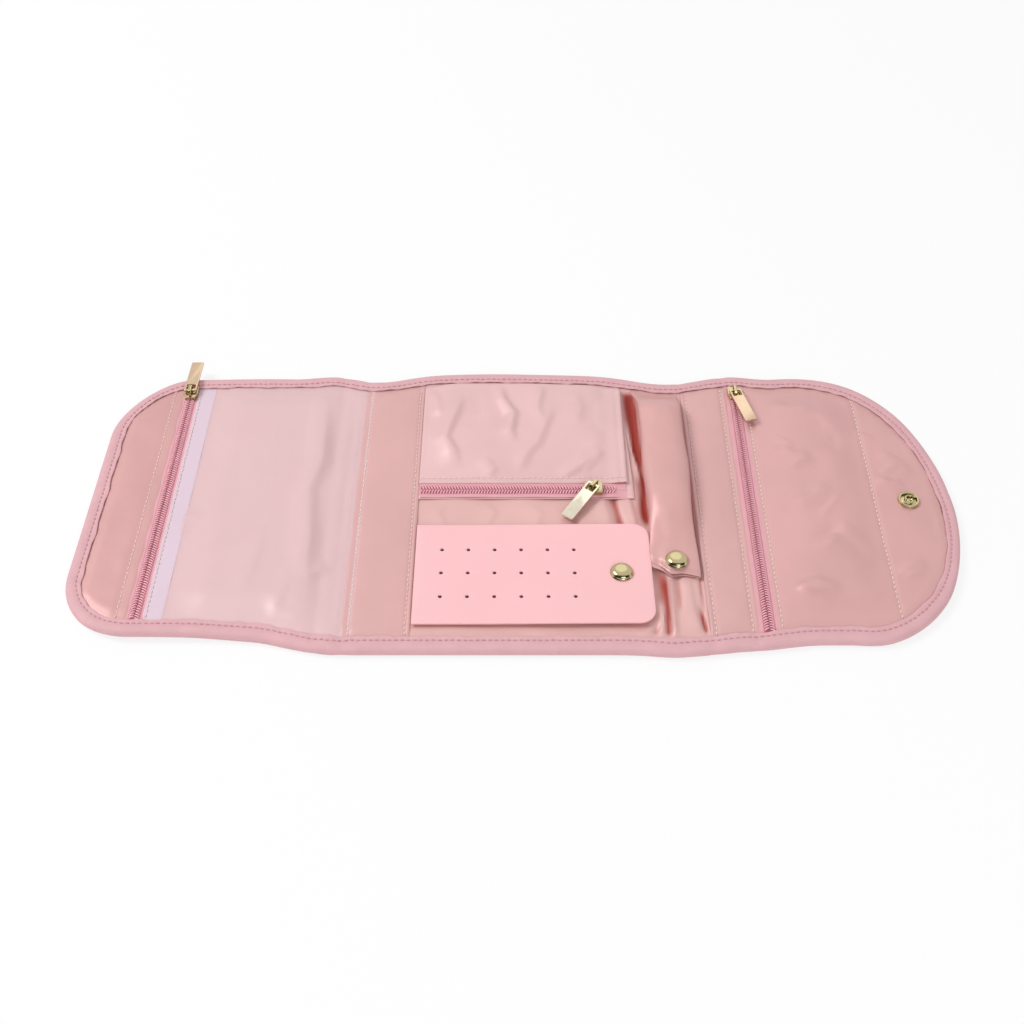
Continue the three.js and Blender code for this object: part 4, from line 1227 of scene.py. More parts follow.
pouchFront = {"cloth": pouchSatin, "slot": "satin", "held": "laid", "rests": [backPiece], "holder": "middle",
              "nodes": ["pouch_front"], "thickness": 0.6, "rounding": 0.3, "rows": 1.2, "step": 1.2,
              "startX": pouchBox[0][0] - 0.6, "endX": pouchBox[1][0], "edgeY": pouchZipY + 4.75,
              "edgeWave": 0.12, "edgeWaveLength": 5.5, "sewUp": 4.2, "sewEnds": (1, 2), "sewPoints": 80,
              "above": 1.9, "rise": 2.604, "swell": [(0, 24), (0, 20), (0, 16)],
              "loose": [(1, 9), (0, 7), (0, 6)], "ripple": (0.45, 32, 4), "hem": 0.5, "hemAt": (1.2, 1.6),
              "valley": 0.35, "freeEdge": 1.7, "freeReach": 12, "sideSew": (3, 0.4)}
pouchFolds = [
    ([(-12, 92), (-10, 77), (-3, 64), (-5, 50), (-2, 36)], 3.6, 2.2),
    ([(-17, 90), (-13, 75), (-9, 62), (-10, 50)], 3.2, -1.0),
    ([(-34, 84), (-37.5, 67), (-43.7, 45), (-38, 33), (-35, 18)], 3.8, 2.0),
    ([(22, 76), (11, 40), (5.6, 33), (0.5, 21), (-3, 15)], 4.0, 1.6),
    ([(15, 92), (11, 70), (14, 55)], 3.6, 1.4),
    ([(-54, 90), (-49, 75), (-47, 62)], 3.6, 1.3),
    ([(44, 31), (33, 20), (22, 12)], 3.0, 1.3),
    ([(50, 36), (42, 24), (36, 16)], 2.8, 0.9),
    ([(33, 88), (37, 70), (33, 54)], 5.0, 0.9),
    ([(-25, 86), (-24, 66), (-28, 50)], 6.0, -0.8),
    ([(-22, 30), (-15, 20), (-17, 12)], 3.4, 1.0),
    ([(46, 84), (44, 62), (48, 46)], 5.0, -0.8),
]


def pouchFrontNear(x):
    return pouchFront["edgeY"] + pouchFront["edgeWave"] * np.sin(np.asarray(x) / pouchFront["edgeWaveLength"])


def pouchFrontTop(x, y):
    fromNear, fromRight = y - pouchFrontNear(x), pouchBox[1][0] - x
    fromEdges = (fromNear, fromRight, x - pouchBox[0][0])
    swell, loose = (
        math.prod(smooth(*reach, away) for reach, away in zip(pouchFront[key], fromEdges))
        for key in ("swell", "loose")
    )
    height = liningTop + pouchFront["above"] + pouchFront["rise"] * swell
    height += loose * (wrinkles(x, y, pouchFolds) + ripple(x, y, *pouchFront["ripple"]))
    height += pouchFront["hem"] * hump(fromNear, *pouchFront["hemAt"])
    height += seamValley(fromNear, pouchFront["sewUp"], pouchFront["valley"])
    height += pouchFront["freeEdge"] * smooth(pouchFront["freeReach"], 0, fromRight)
    return tucked(x, y, height + seamValley(fromRight, *pouchFront["sideSew"]))


sewSheet("pouch_front_satin", {**pouchFront, "near": pouchFrontNear}, pouchFrontTop)
startX, endX = pouchBox[0][0] + pouchFront["sewEnds"][0], pouchBox[1][0] - pouchFront["sewEnds"][1]
sewnX = np.linspace(startX, endX, pouchFront["sewPoints"])
line = sewnOver(sewnX, pouchFrontNear(sewnX) + pouchFront["sewUp"], pouchFrontTop)
stitches("pouch_stitches", [line], paleThread, "middle", "satin")

pouchTape = {"cloth": zipCloth, "thickness": 0.45, "rounding": 0.12, "rows": 0.9, "step": 1.6, "above": 1.45,
             "startX": pouchBackBox[0][0] + 0.3, "endX": pouchBackBox[1][0] - 0.6, "nearInset": 0.6,
             "curl": 0.55, "curlX": (50, 61), "curlTurn": 0.55, "wave": 0.125, "waveLength": 6,
             "curlY": (pouchZipY + 2, pouchZipY - 5), "bedEnd": (57, 52),
             "coilStart": 1, "coilEnd": 7, "coilAbove": 1.35}


def pouchTapeTop(x, y):
    x = np.asarray(x)
    curl = np.sin((x - pouchTape["curlX"][0]) * pouchTape["curlTurn"])
    curl = pouchTape["curl"] * smooth(*pouchTape["curlX"], x) * curl
    curl = curl + pouchTape["wave"] * np.sin(x / pouchTape["waveLength"])
    return liningTop + pouchTape["above"] + curl * smooth(*pouchTape["curlY"], y)


for edge, low, high in (
    ("outer", pouchBackBox[0][1] + pouchTape["nearInset"], pouchZipY - zipLook["slit"]),
    ("inner", pouchZipY + zipLook["slit"], pouchZipY + zipLook["tapeWidth"]),
):
    piece = sheetPiece(
        f"pouch_zip_tape_{edge}_woven", {**pouchTape, "near": straight(low), "far": straight(high)},
        # painted shade under the coil, faded out past the coil's end
        pouchTapeTop, lambda x, y: coilBedShade(y - pouchZipY) * smooth(*pouchTape["bedEnd"], x),
    )
    carry(piece, "middle", "zip_tape", f"pouch_zip_tape_{edge}")
startX, endX = pouchTape["startX"] + pouchTape["coilStart"], pouchTape["endX"] - pouchTape["coilEnd"]
height = liningTop + pouchTape["coilAbove"]
addCoil("pouch_zip_coil_loops", (startX, pouchZipY), (endX, pouchZipY), height, "middle", "pouch_zip_coil")
print("zip pouch sewn in")


# Earring panel: a smooth sheet with punched holes

earringBox = boxMm("earring_panel")
earring = {"columns": 6, "rows": 3, "columnPitch": 14.4, "rowPitch": 16.2, "firstHole": 14.5,
           "holeRadius": 1.05, "holePoints": 16, "cornerRadius": 9, "cornerStep": 7.5, "roundEdge": 0.32,
           "slice": 6, "snapInset": 16.5, "snapReach": 13, "curl": 1.0, "curlX": (-40, 66), "curlY": 34}
_, earringMiddleY, earringMiddleZ = middleOf(earringBox)
earringSnapX = earringBox[1][0] - earring["snapInset"]


def earringOutline():
    (x0, y0, _), (x1, y1, _) = earringBox
    inset = earring["roundEdge"]
    x0, x1, y0, y1, r = x0 + inset, x1 - inset, y0 + inset, y1 - inset, earring["cornerRadius"] - inset
    turns = np.radians(np.arange(0, 91, earring["cornerStep"]))
    lower = np.stack([x1 - r + r * np.sin(turns), y0 + r - r * np.cos(turns)], -1)
    upper = np.stack([x1 - r + r * np.cos(turns), y1 - r + r * np.sin(turns)], -1)
    return np.concatenate([[[x0, y0]], lower, upper, [[x0, y1]]])


def earringHoles():
    radius = earring["holeRadius"] + earring["roundEdge"]
    turns = np.linspace(0, 2 * math.pi, earring["holePoints"], endpoint=False)
    for column in range(earring["columns"]):
        for row in range(earring["rows"]):
            x = earringBox[0][0] + earring["firstHole"] + column * earring["columnPitch"]
            y = earringMiddleY + (row - (earring["rows"] - 1) / 2) * earring["rowPitch"]
            yield np.stack([x + radius * np.cos(turns), y + radius * np.sin(turns)], -1)


def punchedMesh():  # the flat sheet with its round edges, from a filled curve
    data = bpy.data.curves.new("earring_outline", "CURVE")
    data.dimensions = "2D"
    data.fill_mode = "BOTH"
    for ring in [earringOutline(), *earringHoles()]:
        spline = data.splines.new("POLY")
        spline.points.add(len(ring) - 1)
        for point, (x, y) in zip(spline.points, ring):
            point.co = (x * mm, y * mm, 0, 1)
        spline.use_cyclic_u = True
    thickness = earringBox[1][2] - earringBox[0][2]
    data.extrude = (thickness / 2 - earring["roundEdge"]) * mm
    data.bevel_depth = earring["roundEdge"] * mm
    data.bevel_resolution = 2
    drawn = addObject("earring_outline", data)
    mesh = bpy.data.meshes.new_from_object(drawn.evaluated_get(bpy.context.evaluated_depsgraph_get()))
    bpy.data.objects.remove(drawn)
    bpy.data.curves.remove(data)
    return mesh


def addEarringSheet():
    mesh = punchedMesh()
    shape = bmesh.new()
    shape.from_mesh(mesh)
    bmesh.ops.remove_doubles(shape, verts=shape.verts, dist=1e-6)
    for axis in (0, 1):
        for place in np.arange(earringBox[0][axis] + earring["slice"], earringBox[1][axis], earring["slice"]):
            point, way = [0, 0, 0], [0, 0, 0]
            point[axis], way[axis] = place * mm, 1
            geometry = shape.verts[:] + shape.edges[:] + shape.faces[:]
            bmesh.ops.bisect_plane(shape, geom=geometry, dist=1e-7, plane_co=point, plane_no=way)
    bmesh.ops.recalc_face_normals(shape, faces=shape.faces)
    for vertex in shape.verts:
        x, y = vertex.co.x / mm, vertex.co.y / mm
        fromSnap = math.hypot(x - earringSnapX, y - earringMiddleY)
        curl = earring["curl"] * float(smooth(*earring["curlX"], x))
        bow = curl * (abs(y - earringMiddleY) / earring["curlY"]) ** 2
        vertex.co.z += (earringMiddleZ + bow * (1 - float(hump(fromSnap, 0, earring["snapReach"])))) * mm
    shape.to_mesh(mesh)
    shape.free()
    finishMesh(mesh, flapSheet, sharpAngles["sheet"])
    piece = addObject("earring_sheet", mesh)
    width, depth = (earringBox[1][axis] - earringBox[0][axis] for axis in (0, 1))
    width * mm
    depth * mm
    return carry(piece, "earring_flap", "leatherette", "earring_panel")


addEarringSheet()
print("earring panel punched")


# Ring bar: a stuffed sleeve with a flat tab and a pinched mouth

ringBox = boxMm("ring_bar_sleeve")
ring = {"around": 40, "step": 1.6, "cloth": 0.17, "square": 0.78, "narrower": 1.4, "waist": 0.04,
        "waistY": -10, "waistLength": 30, "tab": 23, "taper": 32, "tabHeight": 3.3, "leastHeight": 0.15,
        "mouth": 1.3, "mouthReach": 4.5, "pinch": 0.36, "pinchUp": 0.9, "pinchDown": 0.6,
        "pinchWidths": (2.6, 2.4), "pinchGap": 5, "farTaper": 30, "farThickness": 0.5, "farSink": 0.3,
        "sinkFrom": 26, "farSpread": 0.1, "spreadFrom": 14, "spreadShift": 14, "bend": 14, "setBack": 26,
        "sway": (0.02, 9), "twist": (0.35, 14), "shiver": (0.16, 4.3), "stuffedFrom": 5, "underBack": 0.72,
        "cutStep": 1.7, "coreInset": 1.0, "coreStep": 4.0, "coreStart": 2, "coreEnd": 18}
mouthLine = [(0, 11), (0.2, 8), (ring["pinch"], 1.6), (0.62, 2.8), (1, 0)]  # share of the width, set back
ringFolds = [
    ([(80, 90), (83, 70), (80, 50)], 2.6, 0.5), ([(90, 92), (88, 74), (91, 60)], 2.2, 0.6),
    ([(76, -18), (79, -32), (78, -46)], 3.4, -0.3), ([(92, -10), (90, -28), (94, -44)], 3.0, 0.4),
    ([(83, -12), (85, -28), (84, -40)], 3.4, 0.5),
]
ringMouthY = ringBox[0][1]
ringTabY = ringMouthY + ring["tab"]
ringWidth = ringBox[1][0] - ringBox[0][0]
ringMiddleX = (ringBox[0][0] + ringBox[1][0] - ring["narrower"]) / 2
ringFarY = float(lipFar(ringMiddleX))  # sewn in under the far edge tape


def ringHeight(y):
    full = ringBox[1][2] - ringBox[0][2]
    near = smooth(ringTabY - 6, ringTabY + ring["taper"], y)
    far = smooth(ringFarY, ringFarY - ring["farTaper"], y)
    shut = (ring["tabHeight"] - ring["mouth"]) * smooth(ringMouthY + ring["mouthReach"], ringMouthY, y)
    tab = ring["tabHeight"] - shut
    return ring["farThickness"] + (tab - ring["farThickness"] + (full - tab) * near) * far


def ringBase(y):
    drop = ringBox[0][2] - liningTop + ring["farSink"]
    return ringBox[0][2] - drop * smooth(ringFarY - ring["sinkFrom"], ringFarY - 1, y)


def ringSkin(inset, nearY, farY, step, mouth):  # rings of points round the bar, taken in by an inset
    turns = np.linspace(0, 2 * math.pi, ring["around"], endpoint=False)
    circle = np.cos(turns), np.sin(turns)
    across, up = (np.sign(value) * np.abs(value) ** ring["square"] for value in circle)
    (sway, swayLength), (twist, twistLength), (shiver, shiverLength) = (
        ring[key] for key in ("sway", "twist", "shiver")
    )
    upWidth, downWidth = ring["pinchWidths"]
    rings = []
    for y in stations(nearY, farY, step):
        height = max(ringHeight(y) - 2 * inset, ring["leastHeight"])
        spread = ring["farSpread"] * float(smooth(ringFarY - ring["spreadFrom"], ringFarY, y))
        waist = ring["waist"] * float(hump(y, ring["waistY"], ring["waistLength"]))
        width = (ringWidth - ring["narrower"]) / 2 - inset
        width *= 1 - waist + sway * math.sin(y / swayLength) + spread
        x = ringMiddleX - ring["spreadShift"] * spread + width * across
        x = x + twist * np.sin(y / twistLength + turns)
        z = ringBase(y) + inset + height / 2 * (1 + up)
        flatTab = float(smooth(ringTabY + 4, ringMouthY + 6, y))
        creaseX = ringMiddleX + (ring["pinch"] - 0.5) * 2 * width
        pinch = ring["pinchUp"] * hump(x, creaseX, upWidth)
        pinch = pinch - ring["pinchDown"] * hump(x, creaseX - ring["pinchGap"], downWidth)
        z = z + flatTab * mouth * (up > 0) * pinch
        slack = wrinkles(x, np.full_like(x, y), ringFolds)
        slack = slack + shiver * np.sin(y / shiverLength + 3 * circle[0]) * (height > ring["stuffedFrom"])
        z = z + slack * np.maximum(up, 0)
        share = (x - ringBox[0][0]) / ringWidth
        back = mouth * np.interp(share, *zip(*mouthLine)) * np.where(up > 0, 1, ring["underBack"])
        shift = back * smooth(ringMouthY + ring["setBack"], ringMouthY, y)
        placed = np.stack([x, y + shift, z], -1)
        if y > 0:
            placed[:, 1] = drape(placed)[:, 1]  # drawn in with the far edge
        rings.append(placed)
    return np.array(rings)


def addRingSleeve():
    outer, inner = (
        ringSkin(inset, ringMouthY, ringFarY, ring["step"], 1.0) for inset in (0.0, ring["cloth"])
    )
    columns, around = outer.shape[:2]
    count = columns * around
    rim = np.arange(around)
    following = np.roll(rim, -1)
    last = (columns - 1) * around
    faces = tubeFaces(columns, around, True).tolist() + (tubeFaces(columns, around) + count).tolist()
    faces += np.stack([rim, following, following + count, rim + count], -1).tolist()
    faces += [(last + rim).tolist(), (last + count + rim[::-1]).tolist()]
    points = np.concatenate([outer.reshape(-1, 3), inner.reshape(-1, 3)])
    cut = np.stack([np.tile(rim * ring["cutStep"], columns * 2), points[:, 1]], -1)
    sleeve = faceOut(newPiece("ring_bar_satin", points, faces, barSatin, cut))
    sewnY = float(drape([[ringMiddleX, ringFarY, liningTop]])[0, 1])
    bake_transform(sleeve)
    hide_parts("ring_bar_sleeve")


def addRingStuffing():
    startY, endY = ringTabY + ring["coreStart"], ringFarY - ring["coreEnd"]
    core = ringSkin(ring["coreInset"], startY, endY, ring["coreStep"], 0.0)
    columns, around = core.shape[:2]
    rim = np.arange(around)
    faces = tubeFaces(columns, around, True).tolist()
    faces += [rim.tolist(), (rim[::-1] + (columns - 1) * around).tolist()]
    points = core.reshape(-1, 3)
    stuffing = faceOut(newPiece("ring_bar_stuffing", points, faces, padFoam, points[:, :2]))
    carry(stuffing, "ring_bar", "foam", "ring_bar_core")


addRingSleeve()
addRingStuffing()
print("ring bar stuffed")


# Right panel: strip over the fold, zip pocket and closing flap

foldStrip = {"cloth": panelSatin, "slot": "satin", "held": "stretched", "nodes": [], "thickness": 0.5,
             "rounding": 0.3, "rows": 2.2, "step": 1.3, "startX": rightIn - 0.6, "endX": rightZipX - 5.2,
             "sewX": (rightIn + 2.2, rightZipX - 8.6), "sewNear": 1.5, "sewFar": (7, 4), "above": 0.85,
             "puff": 0.35, "puffX": 112, "puffWidth": 8, "edgeLift": 0.35, "edgeReach": 4,
             "ripple": (0.2, 36, 15)}


def foldStripTop(x, y):
    height = liningTop + foldStrip["above"]
    height += foldStrip["puff"] * hump(x, foldStrip["puffX"], foldStrip["puffWidth"])
    height += ripple(x, y, *foldStrip["ripple"])
    height += foldStrip["edgeLift"] * smooth(rightIn + foldStrip["edgeReach"], rightIn, x)
    height += sum(seamValley(x, line) for line in foldStrip["sewX"])
    return tucked(x, y, height)


for name, startX, endX, seam, crease in (
    ("right_middle", foldStrip["startX"], rightSeamX, "right", rightIn),
    ("right_end", rightSeamX, foldStrip["endX"], "left", rightOut),
):
    span = {"startX": startX, "endX": endX, "seams": [seam], "dense": [(crease, creaseBand, creaseStep)]}
    look = {**foldStrip, **span, "rests": ["lining_" + name], "holder": name}
    sewSheet("fold_strip_" + name, look, foldStripTop)
for name, holder, x, inset in zip(
    ("inner", "outer"), ("right_middle", "right_end"), foldStrip["sewX"], foldStrip["sewFar"],
):
    line = sewnAlongY(x, foldStripTop, foldStrip["sewNear"] - innerY, innerY - inset)
    stitches("fold_strip_stitches_" + name, [line], paleThread, holder, "satin")

flapEndX = flapEnd(tape["width"] - tape["overlap"])
flapSew = 203.0
flapPanel = {"cloth": flapSatin, "slot": "satin", "held": "laid", "rests": ["lining_right_end"],
             "holder": "right_panel", "nodes": ["right_pocket_panel", "flap_facing"], "thickness": 0.5,
             "rounding": 0.3, "rows": 1.6, "step": 1.5, "startX": rightZipX + 4.8, "endX": flapEndX,
             "dense": [(flapEndX, 9, 0.7), (flapSew - 1, 4, 0.7)], "sewX": rightZipX + 7.0, "sewNear": 2.5,
             "sewFar": 1.5, "flapSlant": 2.5, "slantY": (70, -85), "flapSewInset": 11, "above": 0.85,
             "rise": 2.6, "riseFrom": 24, "riseTo": 22, "riseEdge": (10, 34), "snapReach": 9,
             "looseFrom": (2, 10), "looseEdge": (10, 18), "foldHeight": 1.35, "ripple": (0.35, 38, 9),
             "flapValley": 0.4, "flapValleyWidth": 1.4, "flapValleyFrom": 20}
closureX, closureY, _ = middleOf(boxMm("closure_snap_socket"))
pocketFolds = [
    ([(150, 40), (162, 30), (172, 34)], 5, 0.9), ([(152, -8), (166, -2), (178, 10)], 5, 0.83),
    ([(158, -46), (170, -38), (186, -20)], 6, 0.9), ([(146, -70), (160, -66), (172, -74)], 5, 1.05),
    ([(176, 62), (186, 46), (184, 30)], 6, -0.75), ([(168, -20), (180, -32), (190, -50)], 6, -0.75),
    ([(206, 16), (214, 10), (222, 12)], 3.5, 0.9), ([(204, -60), (212, -52), (222, -48)], 4, 0.75),
    ([(210, 36), (220, 28), (228, 16)], 4.5, 0.6), ([(150, 76), (166, 70), (180, 74)], 5, 0.75),
    ([(168, -38), (173, -32), (178, -31)], 2.0, 0.5), ([(167, -18), (175, -9), (183, 2)], 1.7, 0.45),
    ([(151, 49), (157, 43), (163, 40)], 2.0, 0.45), ([(133, 44), (138, 47), (145, 47)], 1.8, 0.4),
    ([(141, -12), (146, -8), (152, -9)], 2.0, 0.4), ([(209, 19), (215, 23), (221, 27)], 1.9, 0.5),
    ([(148, -66), (156, -70), (165, -72)], 2.1, 0.5), ([(207, -61), (213, -57), (220, -56)], 1.9, 0.45),
    ([(156, 21), (163, 26), (170, 30)], 1.8, 0.4), ([(200, 51), (206, 47), (212, 45)], 1.8, 0.4),
]


def flapSewX(y):
    return flapSew - flapPanel["flapSlant"] * smooth(*flapPanel["slantY"], y)


def flapPanelTop(x, y):
    inside = edgeDistance(x, y)
    startX, sewX = flapPanel["startX"], flapSewX(y)
    swell = smooth(startX, startX + flapPanel["riseFrom"], x) * smooth(sewX, sewX - flapPanel["riseTo"], x)
    swell = swell * smooth(*flapPanel["riseEdge"], inside)
    atSnap = hump(np.hypot(x - closureX, y - closureY), 0, flapPanel["snapReach"])
    loose = smooth(*flapPanel["looseFrom"], x - startX) * smooth(*flapPanel["looseEdge"], inside)
    loose = loose * (1 - atSnap)
    height = liningTop + flapPanel["above"] + flapPanel["rise"] * swell
    folds = flapPanel["foldHeight"] * wrinkles(x, y, pocketFolds)
    height += loose * (folds + ripple(x, y, *flapPanel["ripple"]))
    height += seamValley(x, flapPanel["sewX"])
    valley = flapPanel["flapValley"] * hump(x, sewX, flapPanel["flapValleyWidth"])
    height -= valley * (x > startX + flapPanel["flapValleyFrom"])
    return tucked(x, y, height)


sewSheet("flap_panel_satin", flapPanel, flapPanelTop)
nearY, farY = flapPanel["sewNear"] - innerY, sideInnerY - flapPanel["sewFar"]
sewnEdges = ((nearEdge, flapSew - 3), (farEdge, flapSew))
ends = [float(edge(x, flapPanel["flapSewInset"])) for edge, x in sewnEdges]
acrossY = np.linspace(*ends, sewing["points"])
lines = [
    sewnAlongY(flapPanel["sewX"], flapPanelTop, nearY, farY),
    sewnOver(flapSewX(acrossY), acrossY, flapPanelTop),
]
stitches("flap_panel_stitches", lines, paleThread, "right_panel", "satin")
print("flap pocket laid")


# Snap fasteners and zip hardware

def turned(name, x, y, z, profile, upward=1, segments=56):  # (radius, height) rows turned about the upright
    turns = np.linspace(0, 2 * math.pi, segments, endpoint=False)
    points, rings = [], []
    for radius, height in profile:
        if radius == 0:
            rings.append([len(points)] * segments)
            points.append((x, y, z + upward * height))
        else:
            rings.append(list(range(len(points), len(points) + segments)))
            ringZ = z + upward * height
            points += [(x + radius * math.cos(t), y + radius * math.sin(t), ringZ) for t in turns]
    faces = []
    closed = profile[0][0] > 0
    for lower, higher in zip(rings, rings[1:] + rings[:1] if closed else rings[1:]):
        for i in range(segments):
            j = (i + 1) % segments
            faces.append(list(dict.fromkeys([lower[i], lower[j], higher[j], higher[i]])))
    return faceOut(newPiece(name, points, faces, palePlate), sharpAngles["turned"])


snap = {"capHeight": 2.6, "dome": 3.1, "rim": 0.85, "rimRadius": 0.4, "rimInset": 0.45, "post": 1.5,
        "hole": 2.85, "lip": 0.45, "springWire": 0.68, "springPoints": 22, "springTurns": (0.35, 3.3),
        "springHeights": (0.66, 0.86), "flange": 0.8, "studSegments": 40}


def domeProfile(radius, post):
    rim, curl = snap["rim"], snap["rimRadius"]
    rows = [(0, -post), (snap["post"], -post), (snap["post"], 0.02), (radius - 0.8, 0.02)]
    for turn in np.radians(np.arange(-80, 61, 20)):
        rows.append((radius - curl + curl * math.cos(turn), curl * (1 + math.sin(turn))))
    for share in np.linspace(0.97, 0, 12):
        crown = (snap["dome"] - rim) * math.sqrt(1 - share**3)
        rows.append(((radius - snap["rimInset"]) * share, rim + crown))
    return rows


def addCap(name, node, holder, upward=1):
    x, y, low, high, radius = roundPlace(node)
    base = high - snap["capHeight"] if upward > 0 else low + snap["capHeight"]
    post = base - low if upward > 0 else high - base
    piece = turned(name, x, y, base, domeProfile(radius, post), upward)
    return carry(piece, holder, "gold_metal", node)


def addSocket(name, node, holder, spring=False):
    x, y, low, high, outer = roundPlace(node)
    height, hole = high - low, snap["hole"]
    lip = min(snap["lip"], height * 0.35)
    rim = [(outer - lip, 0), (outer, lip), (outer, height - lip), (outer - 0.3, height - 0.08),
           (outer - 0.8, height), (outer - 1.3, height - 0.14), (outer - 1.6, height * 0.7)]
    floor = [(outer - 1.8, height * 0.45), (2.4, height * 0.5), (1.2, height * 0.6), (0, height * 0.64)]
    throat = [(hole + 0.75, height * 0.66), (hole + 0.45, height * 0.84), (hole + 0.12, height * 0.8),
              (hole, height * 0.6)]
    profile = [(0, 0), *rim, *floor] if spring else [(hole, 0), *rim, *throat]
    carry(turned(name, x, y, low, profile), holder, "gold_metal", node)
    if spring:
        count = snap["springPoints"]
        turns = np.linspace(*snap["springTurns"], count)
        reach = np.linspace(outer - 2.0, 1.5, count)
        z = np.linspace(*snap["springHeights"], count) * height + low
        wires = [
            np.stack([x + side * reach * np.cos(turns), y + side * reach * np.sin(turns), z], -1)
            for side in (1, -1)
        ]
        carry(tubes(name + "_springs", wires, snap["springWire"], palePlate), holder, "gold_metal")


def tubes(name, lines, radius, material):  # closed round wires along lines of points
    around = 8
    points, faces = [], []
    turns = np.linspace(0, 2 * math.pi, around, endpoint=False)
    for line in lines:
        way = np.gradient(line, axis=0)
        way /= np.linalg.norm(way, axis=1)[:, None]
        beside = np.cross(way, [0, 0, 1])
        beside /= np.linalg.norm(beside, axis=1)[:, None]
        above = np.cross(beside, way)
        first = len(points)
        for centre, side, up in zip(line, beside, above):
            points += [centre + radius * (math.cos(t) * side + math.sin(t) * up) for t in turns]
        faces += (tubeFaces(len(line), around) + first).tolist()
        last = first + (len(line) - 1) * around
        faces += [list(range(first, first + around)), list(range(last, last + around))]
    return faceOut(newPiece(name, np.array(points), faces, material))


def addStud(name, node, holder, upward=1):
    x, y, low, high, outer = roundPlace(node)
    height = high - low
    flange = min(snap["flange"], height * 0.3)
    profile = [
        (0, 0), (outer - 0.1, 0), (outer, flange * 0.5), (outer - 0.25, flange), (2.2, flange + 0.02),
        (1.95, flange + 0.2), (2.2, height * 0.68), (2.05, height * 0.86), (1.5, height * 0.97), (0, height),
    ]
    base = low if upward > 0 else high
    piece = turned(name, x, y, base, profile, upward, snap["studSegments"])
    return carry(piece, holder, "gold_metal", node)


for name, holder in (("earring", "earring_flap"), ("ring", "ring_bar")):
    addCap(f"{name}_snap_dome", f"{name}_snap_cap", holder)
    addSocket(f"{name}_snap_ring", f"{name}_snap_socket", holder)
    addStud(f"{name}_snap_post", f"{name}_snap_stud", "middle")
addCap("closure_snap_dome", "closure_snap_cap", "right_panel", -1)
addSocket("closure_snap_spring_socket", "closure_snap_socket", "right_panel", True)
addStud("closure_snap_post", "closure_snap_stud", "left_panel", -1)

hardware = {"sliderEdge": 0.28, "pullEdge": 0.22, "segments": 3, "sharper": 28, "flatter": 2}


def softened(name, node, edge, material):  # the solid's own shape with its edges rolled over
    mesh = frame["nodes"][node].data.copy()
    mesh.name = name
    sharper, flatter = (math.radians(hardware[key]) for key in ("sharper", "flatter"))
    shape = bmesh.new()
    shape.from_mesh(mesh)
    bmesh.ops.remove_doubles(shape, verts=shape.verts, dist=2e-6)
    bmesh.ops.dissolve_limit(shape, angle_limit=flatter, verts=shape.verts, edges=shape.edges)
    sharp = [e for e in shape.edges if e.is_manifold and e.calc_face_angle(0) > sharper]
    bmesh.ops.bevel(
        shape, geom=sharp, offset=edge * mm, segments=hardware["segments"], profile=0.5, affect="EDGES",
        clamp_overlap=True,
    )
    bmesh.ops.recalc_face_normals(shape, faces=shape.faces)
    shape.to_mesh(mesh)
    shape.free()
    finishMesh(mesh, material, sharpAngles["cast"])
    return addObject(name, mesh)


for side, plate in (("left", pullPlate), ("right", pullPlate), ("pouch", pouchPlate)):
    for kind, edge, material in (
        ("slider", hardware["sliderEdge"], palePlate), ("pull", hardware["pullEdge"], plate),
    ):
        node = f"{side}_{kind}"
        carry(softened(node + "_plated", node, edge, material), node, "gold_metal", node)
print("snaps and sliders plated")


# Floor and light, in metres

studio = {"ambient": 0.44, "mirrored": 0.85, "floorHalf": 3, "floorDrop": 0.0004,
          "floorColour": (0.95, 0.95, 0.95, 1), "floorGrain": 0.002, "floorGlow": 0.8}
softboxes = {
    "key": {"power": 33.6, "size": 1.1, "place": (-1.6, 0.35, 2.0)},
    "fill": {"power": 14.0, "size": 1.5, "place": (0.5, -1.7, 1.3)},
    "sheen": {"power": 3.4, "size": 1.6, "place": (0.1, 1.9, 1.9)},
}
screen = {"half": 6.0, "near": -1.7, "back": -0.25, "low": 0.75, "high": 2.0, "grain": 0.05,
          "dark": (0.02, 0.02, 0.02, 1), "light": (0.05, 0.045, 0.04, 1)}


def seenWhite(tree):  # how white a ray finds the studio: mirrored rays a little less than seen ones
    seen = newNode(tree, "ShaderNodeLightPath").outputs
    camera, glossy, through = (
        Wire(tree, seen[f"Is {kind} Ray"]) for kind in ("Camera", "Glossy", "Transmission")
    )
    total = camera + studio["mirrored"] * glossy + through
    return Wire.make(tree, "ShaderNodeClamp", {}, {"Value": total})


def addWorld():
    world = bpy.data.worlds.new("studio")
    bpy.context.scene.world = world
    world.use_nodes = True
    tree = world.node_tree
    surface = next(node for node in tree.nodes if node.type == "BACKGROUND")
    strength = studio["ambient"] + (1 - studio["ambient"]) * seenWhite(tree)
    feed(tree, surface.inputs, {"Color": (1, 1, 1, 1), "Strength": strength})


def addStage(name, points, faces, material):
    mesh = bpy.data.meshes.new(name)
    mesh.from_pydata(points, [], faces)
    mesh.materials.append(material)
    made = addObject(name, mesh)
    return made


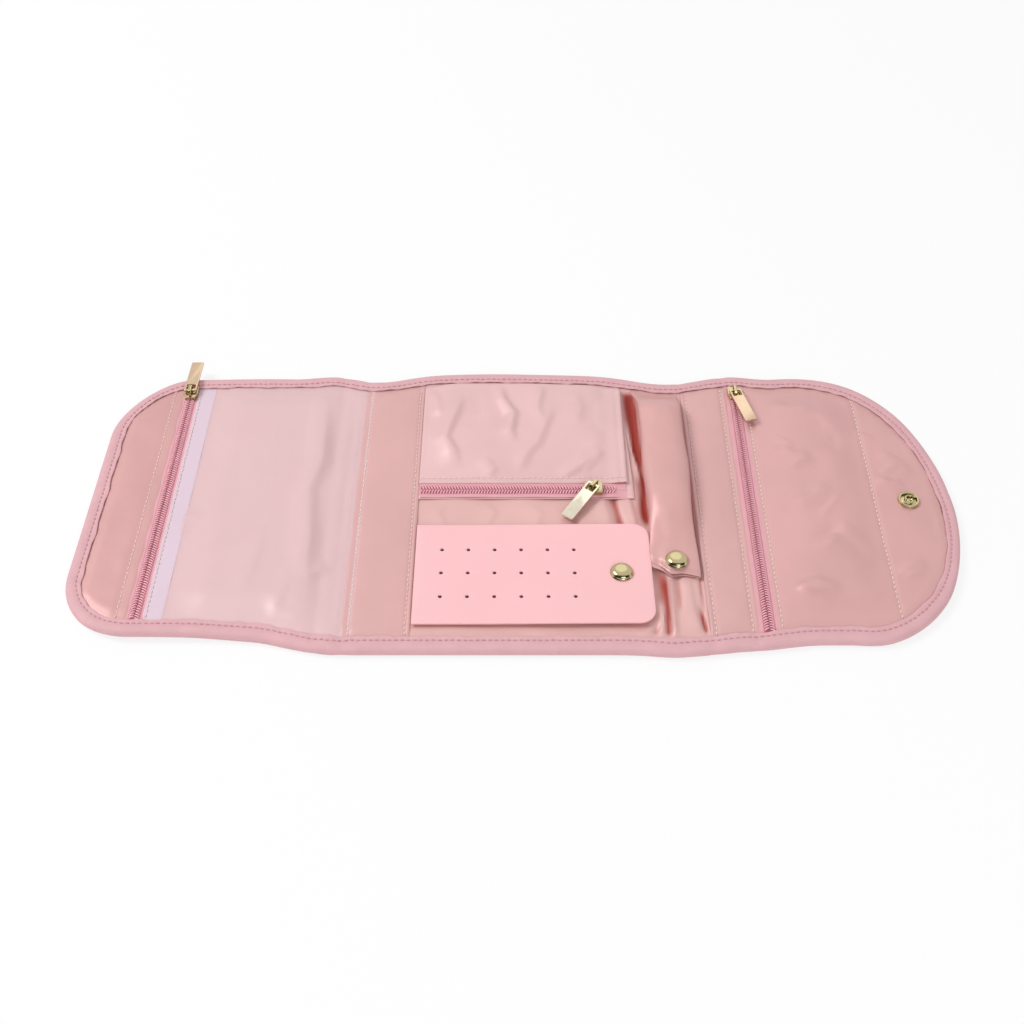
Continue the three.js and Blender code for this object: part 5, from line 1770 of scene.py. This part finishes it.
def addFloor():  # white paper that glows where it is seen, and is clear from below
    half = studio["floorHalf"]
    material, tree, surface = newMaterial("floor paper")
    grain = cloud(objectPlace(tree), studio["floorGrain"], 1)
    feed(tree, surface.inputs, {"Base Color": grain.tint(studio["floorColour"], 0.99, 1), "Roughness": 0.9})
    glow = Wire.make(tree, "ShaderNodeEmission", {}, {"Color": (1, 1, 1, 1), "Strength": 1.0})
    shown = seenWhite(tree) * studio["floorGlow"]
    paper = Wire(tree, surface.outputs[0])
    mixed = Wire.make(tree, "ShaderNodeMixShader", {}, {0: shown, 1: paper, 2: glow})
    below = Wire.make(tree, "ShaderNodeNewGeometry", output=6)
    clear = Wire.make(tree, "ShaderNodeBsdfTransparent")
    oneSided = Wire.make(tree, "ShaderNodeMixShader", {}, {0: below, 1: mixed, 2: clear})
    output = next(node for node in tree.nodes if node.type == "OUTPUT_MATERIAL")
    feed(tree, output.inputs, {"Surface": oneSided})
    corners = [(-half, -half), (half, -half), (half, half), (-half, half)]
    addStage("floor", [(x, y, -studio["floorDrop"]) for x, y in corners], [(0, 1, 2, 3)], material)


def addSoftbox(name, power, size, place):
    data = bpy.data.lights.new(name, "AREA")
    data.energy = power
    data.shape = "DISK"
    data.size = size
    lamp = addObject(name, data)
    lamp.location = place
    lamp.rotation_euler = (-lamp.location).to_track_quat("-Z", "Y").to_euler()


def addScreen():  # a dark screen over and behind the camera that only polished surfaces show
    half = screen["half"]
    near, back, low, high = (screen[key] for key in ("near", "back", "low", "high"))
    points = [(side * half, y, z) for y, z in ((near, low), (near, high), (back, high)) for side in (-1, 1)]
    material, tree, surface = newMaterial("screen cloth")
    grain = cloud(objectPlace(tree), screen["grain"], 1)
    dyed = grain.between(screen["dark"], screen["light"])
    feed(tree, surface.inputs, {"Base Color": dyed, "Roughness": 1.0})
    flag = addStage("flag", points, [(0, 1, 3, 2), (2, 3, 5, 4)], material)
    flag.visible_camera = False
    flag.visible_diffuse = False
    flag.visible_shadow = False
    flag.visible_transmission = False


addWorld()
addFloor()
for name, box in softboxes.items():
    addSoftbox(name, **box)
addScreen()
print("studio lit")
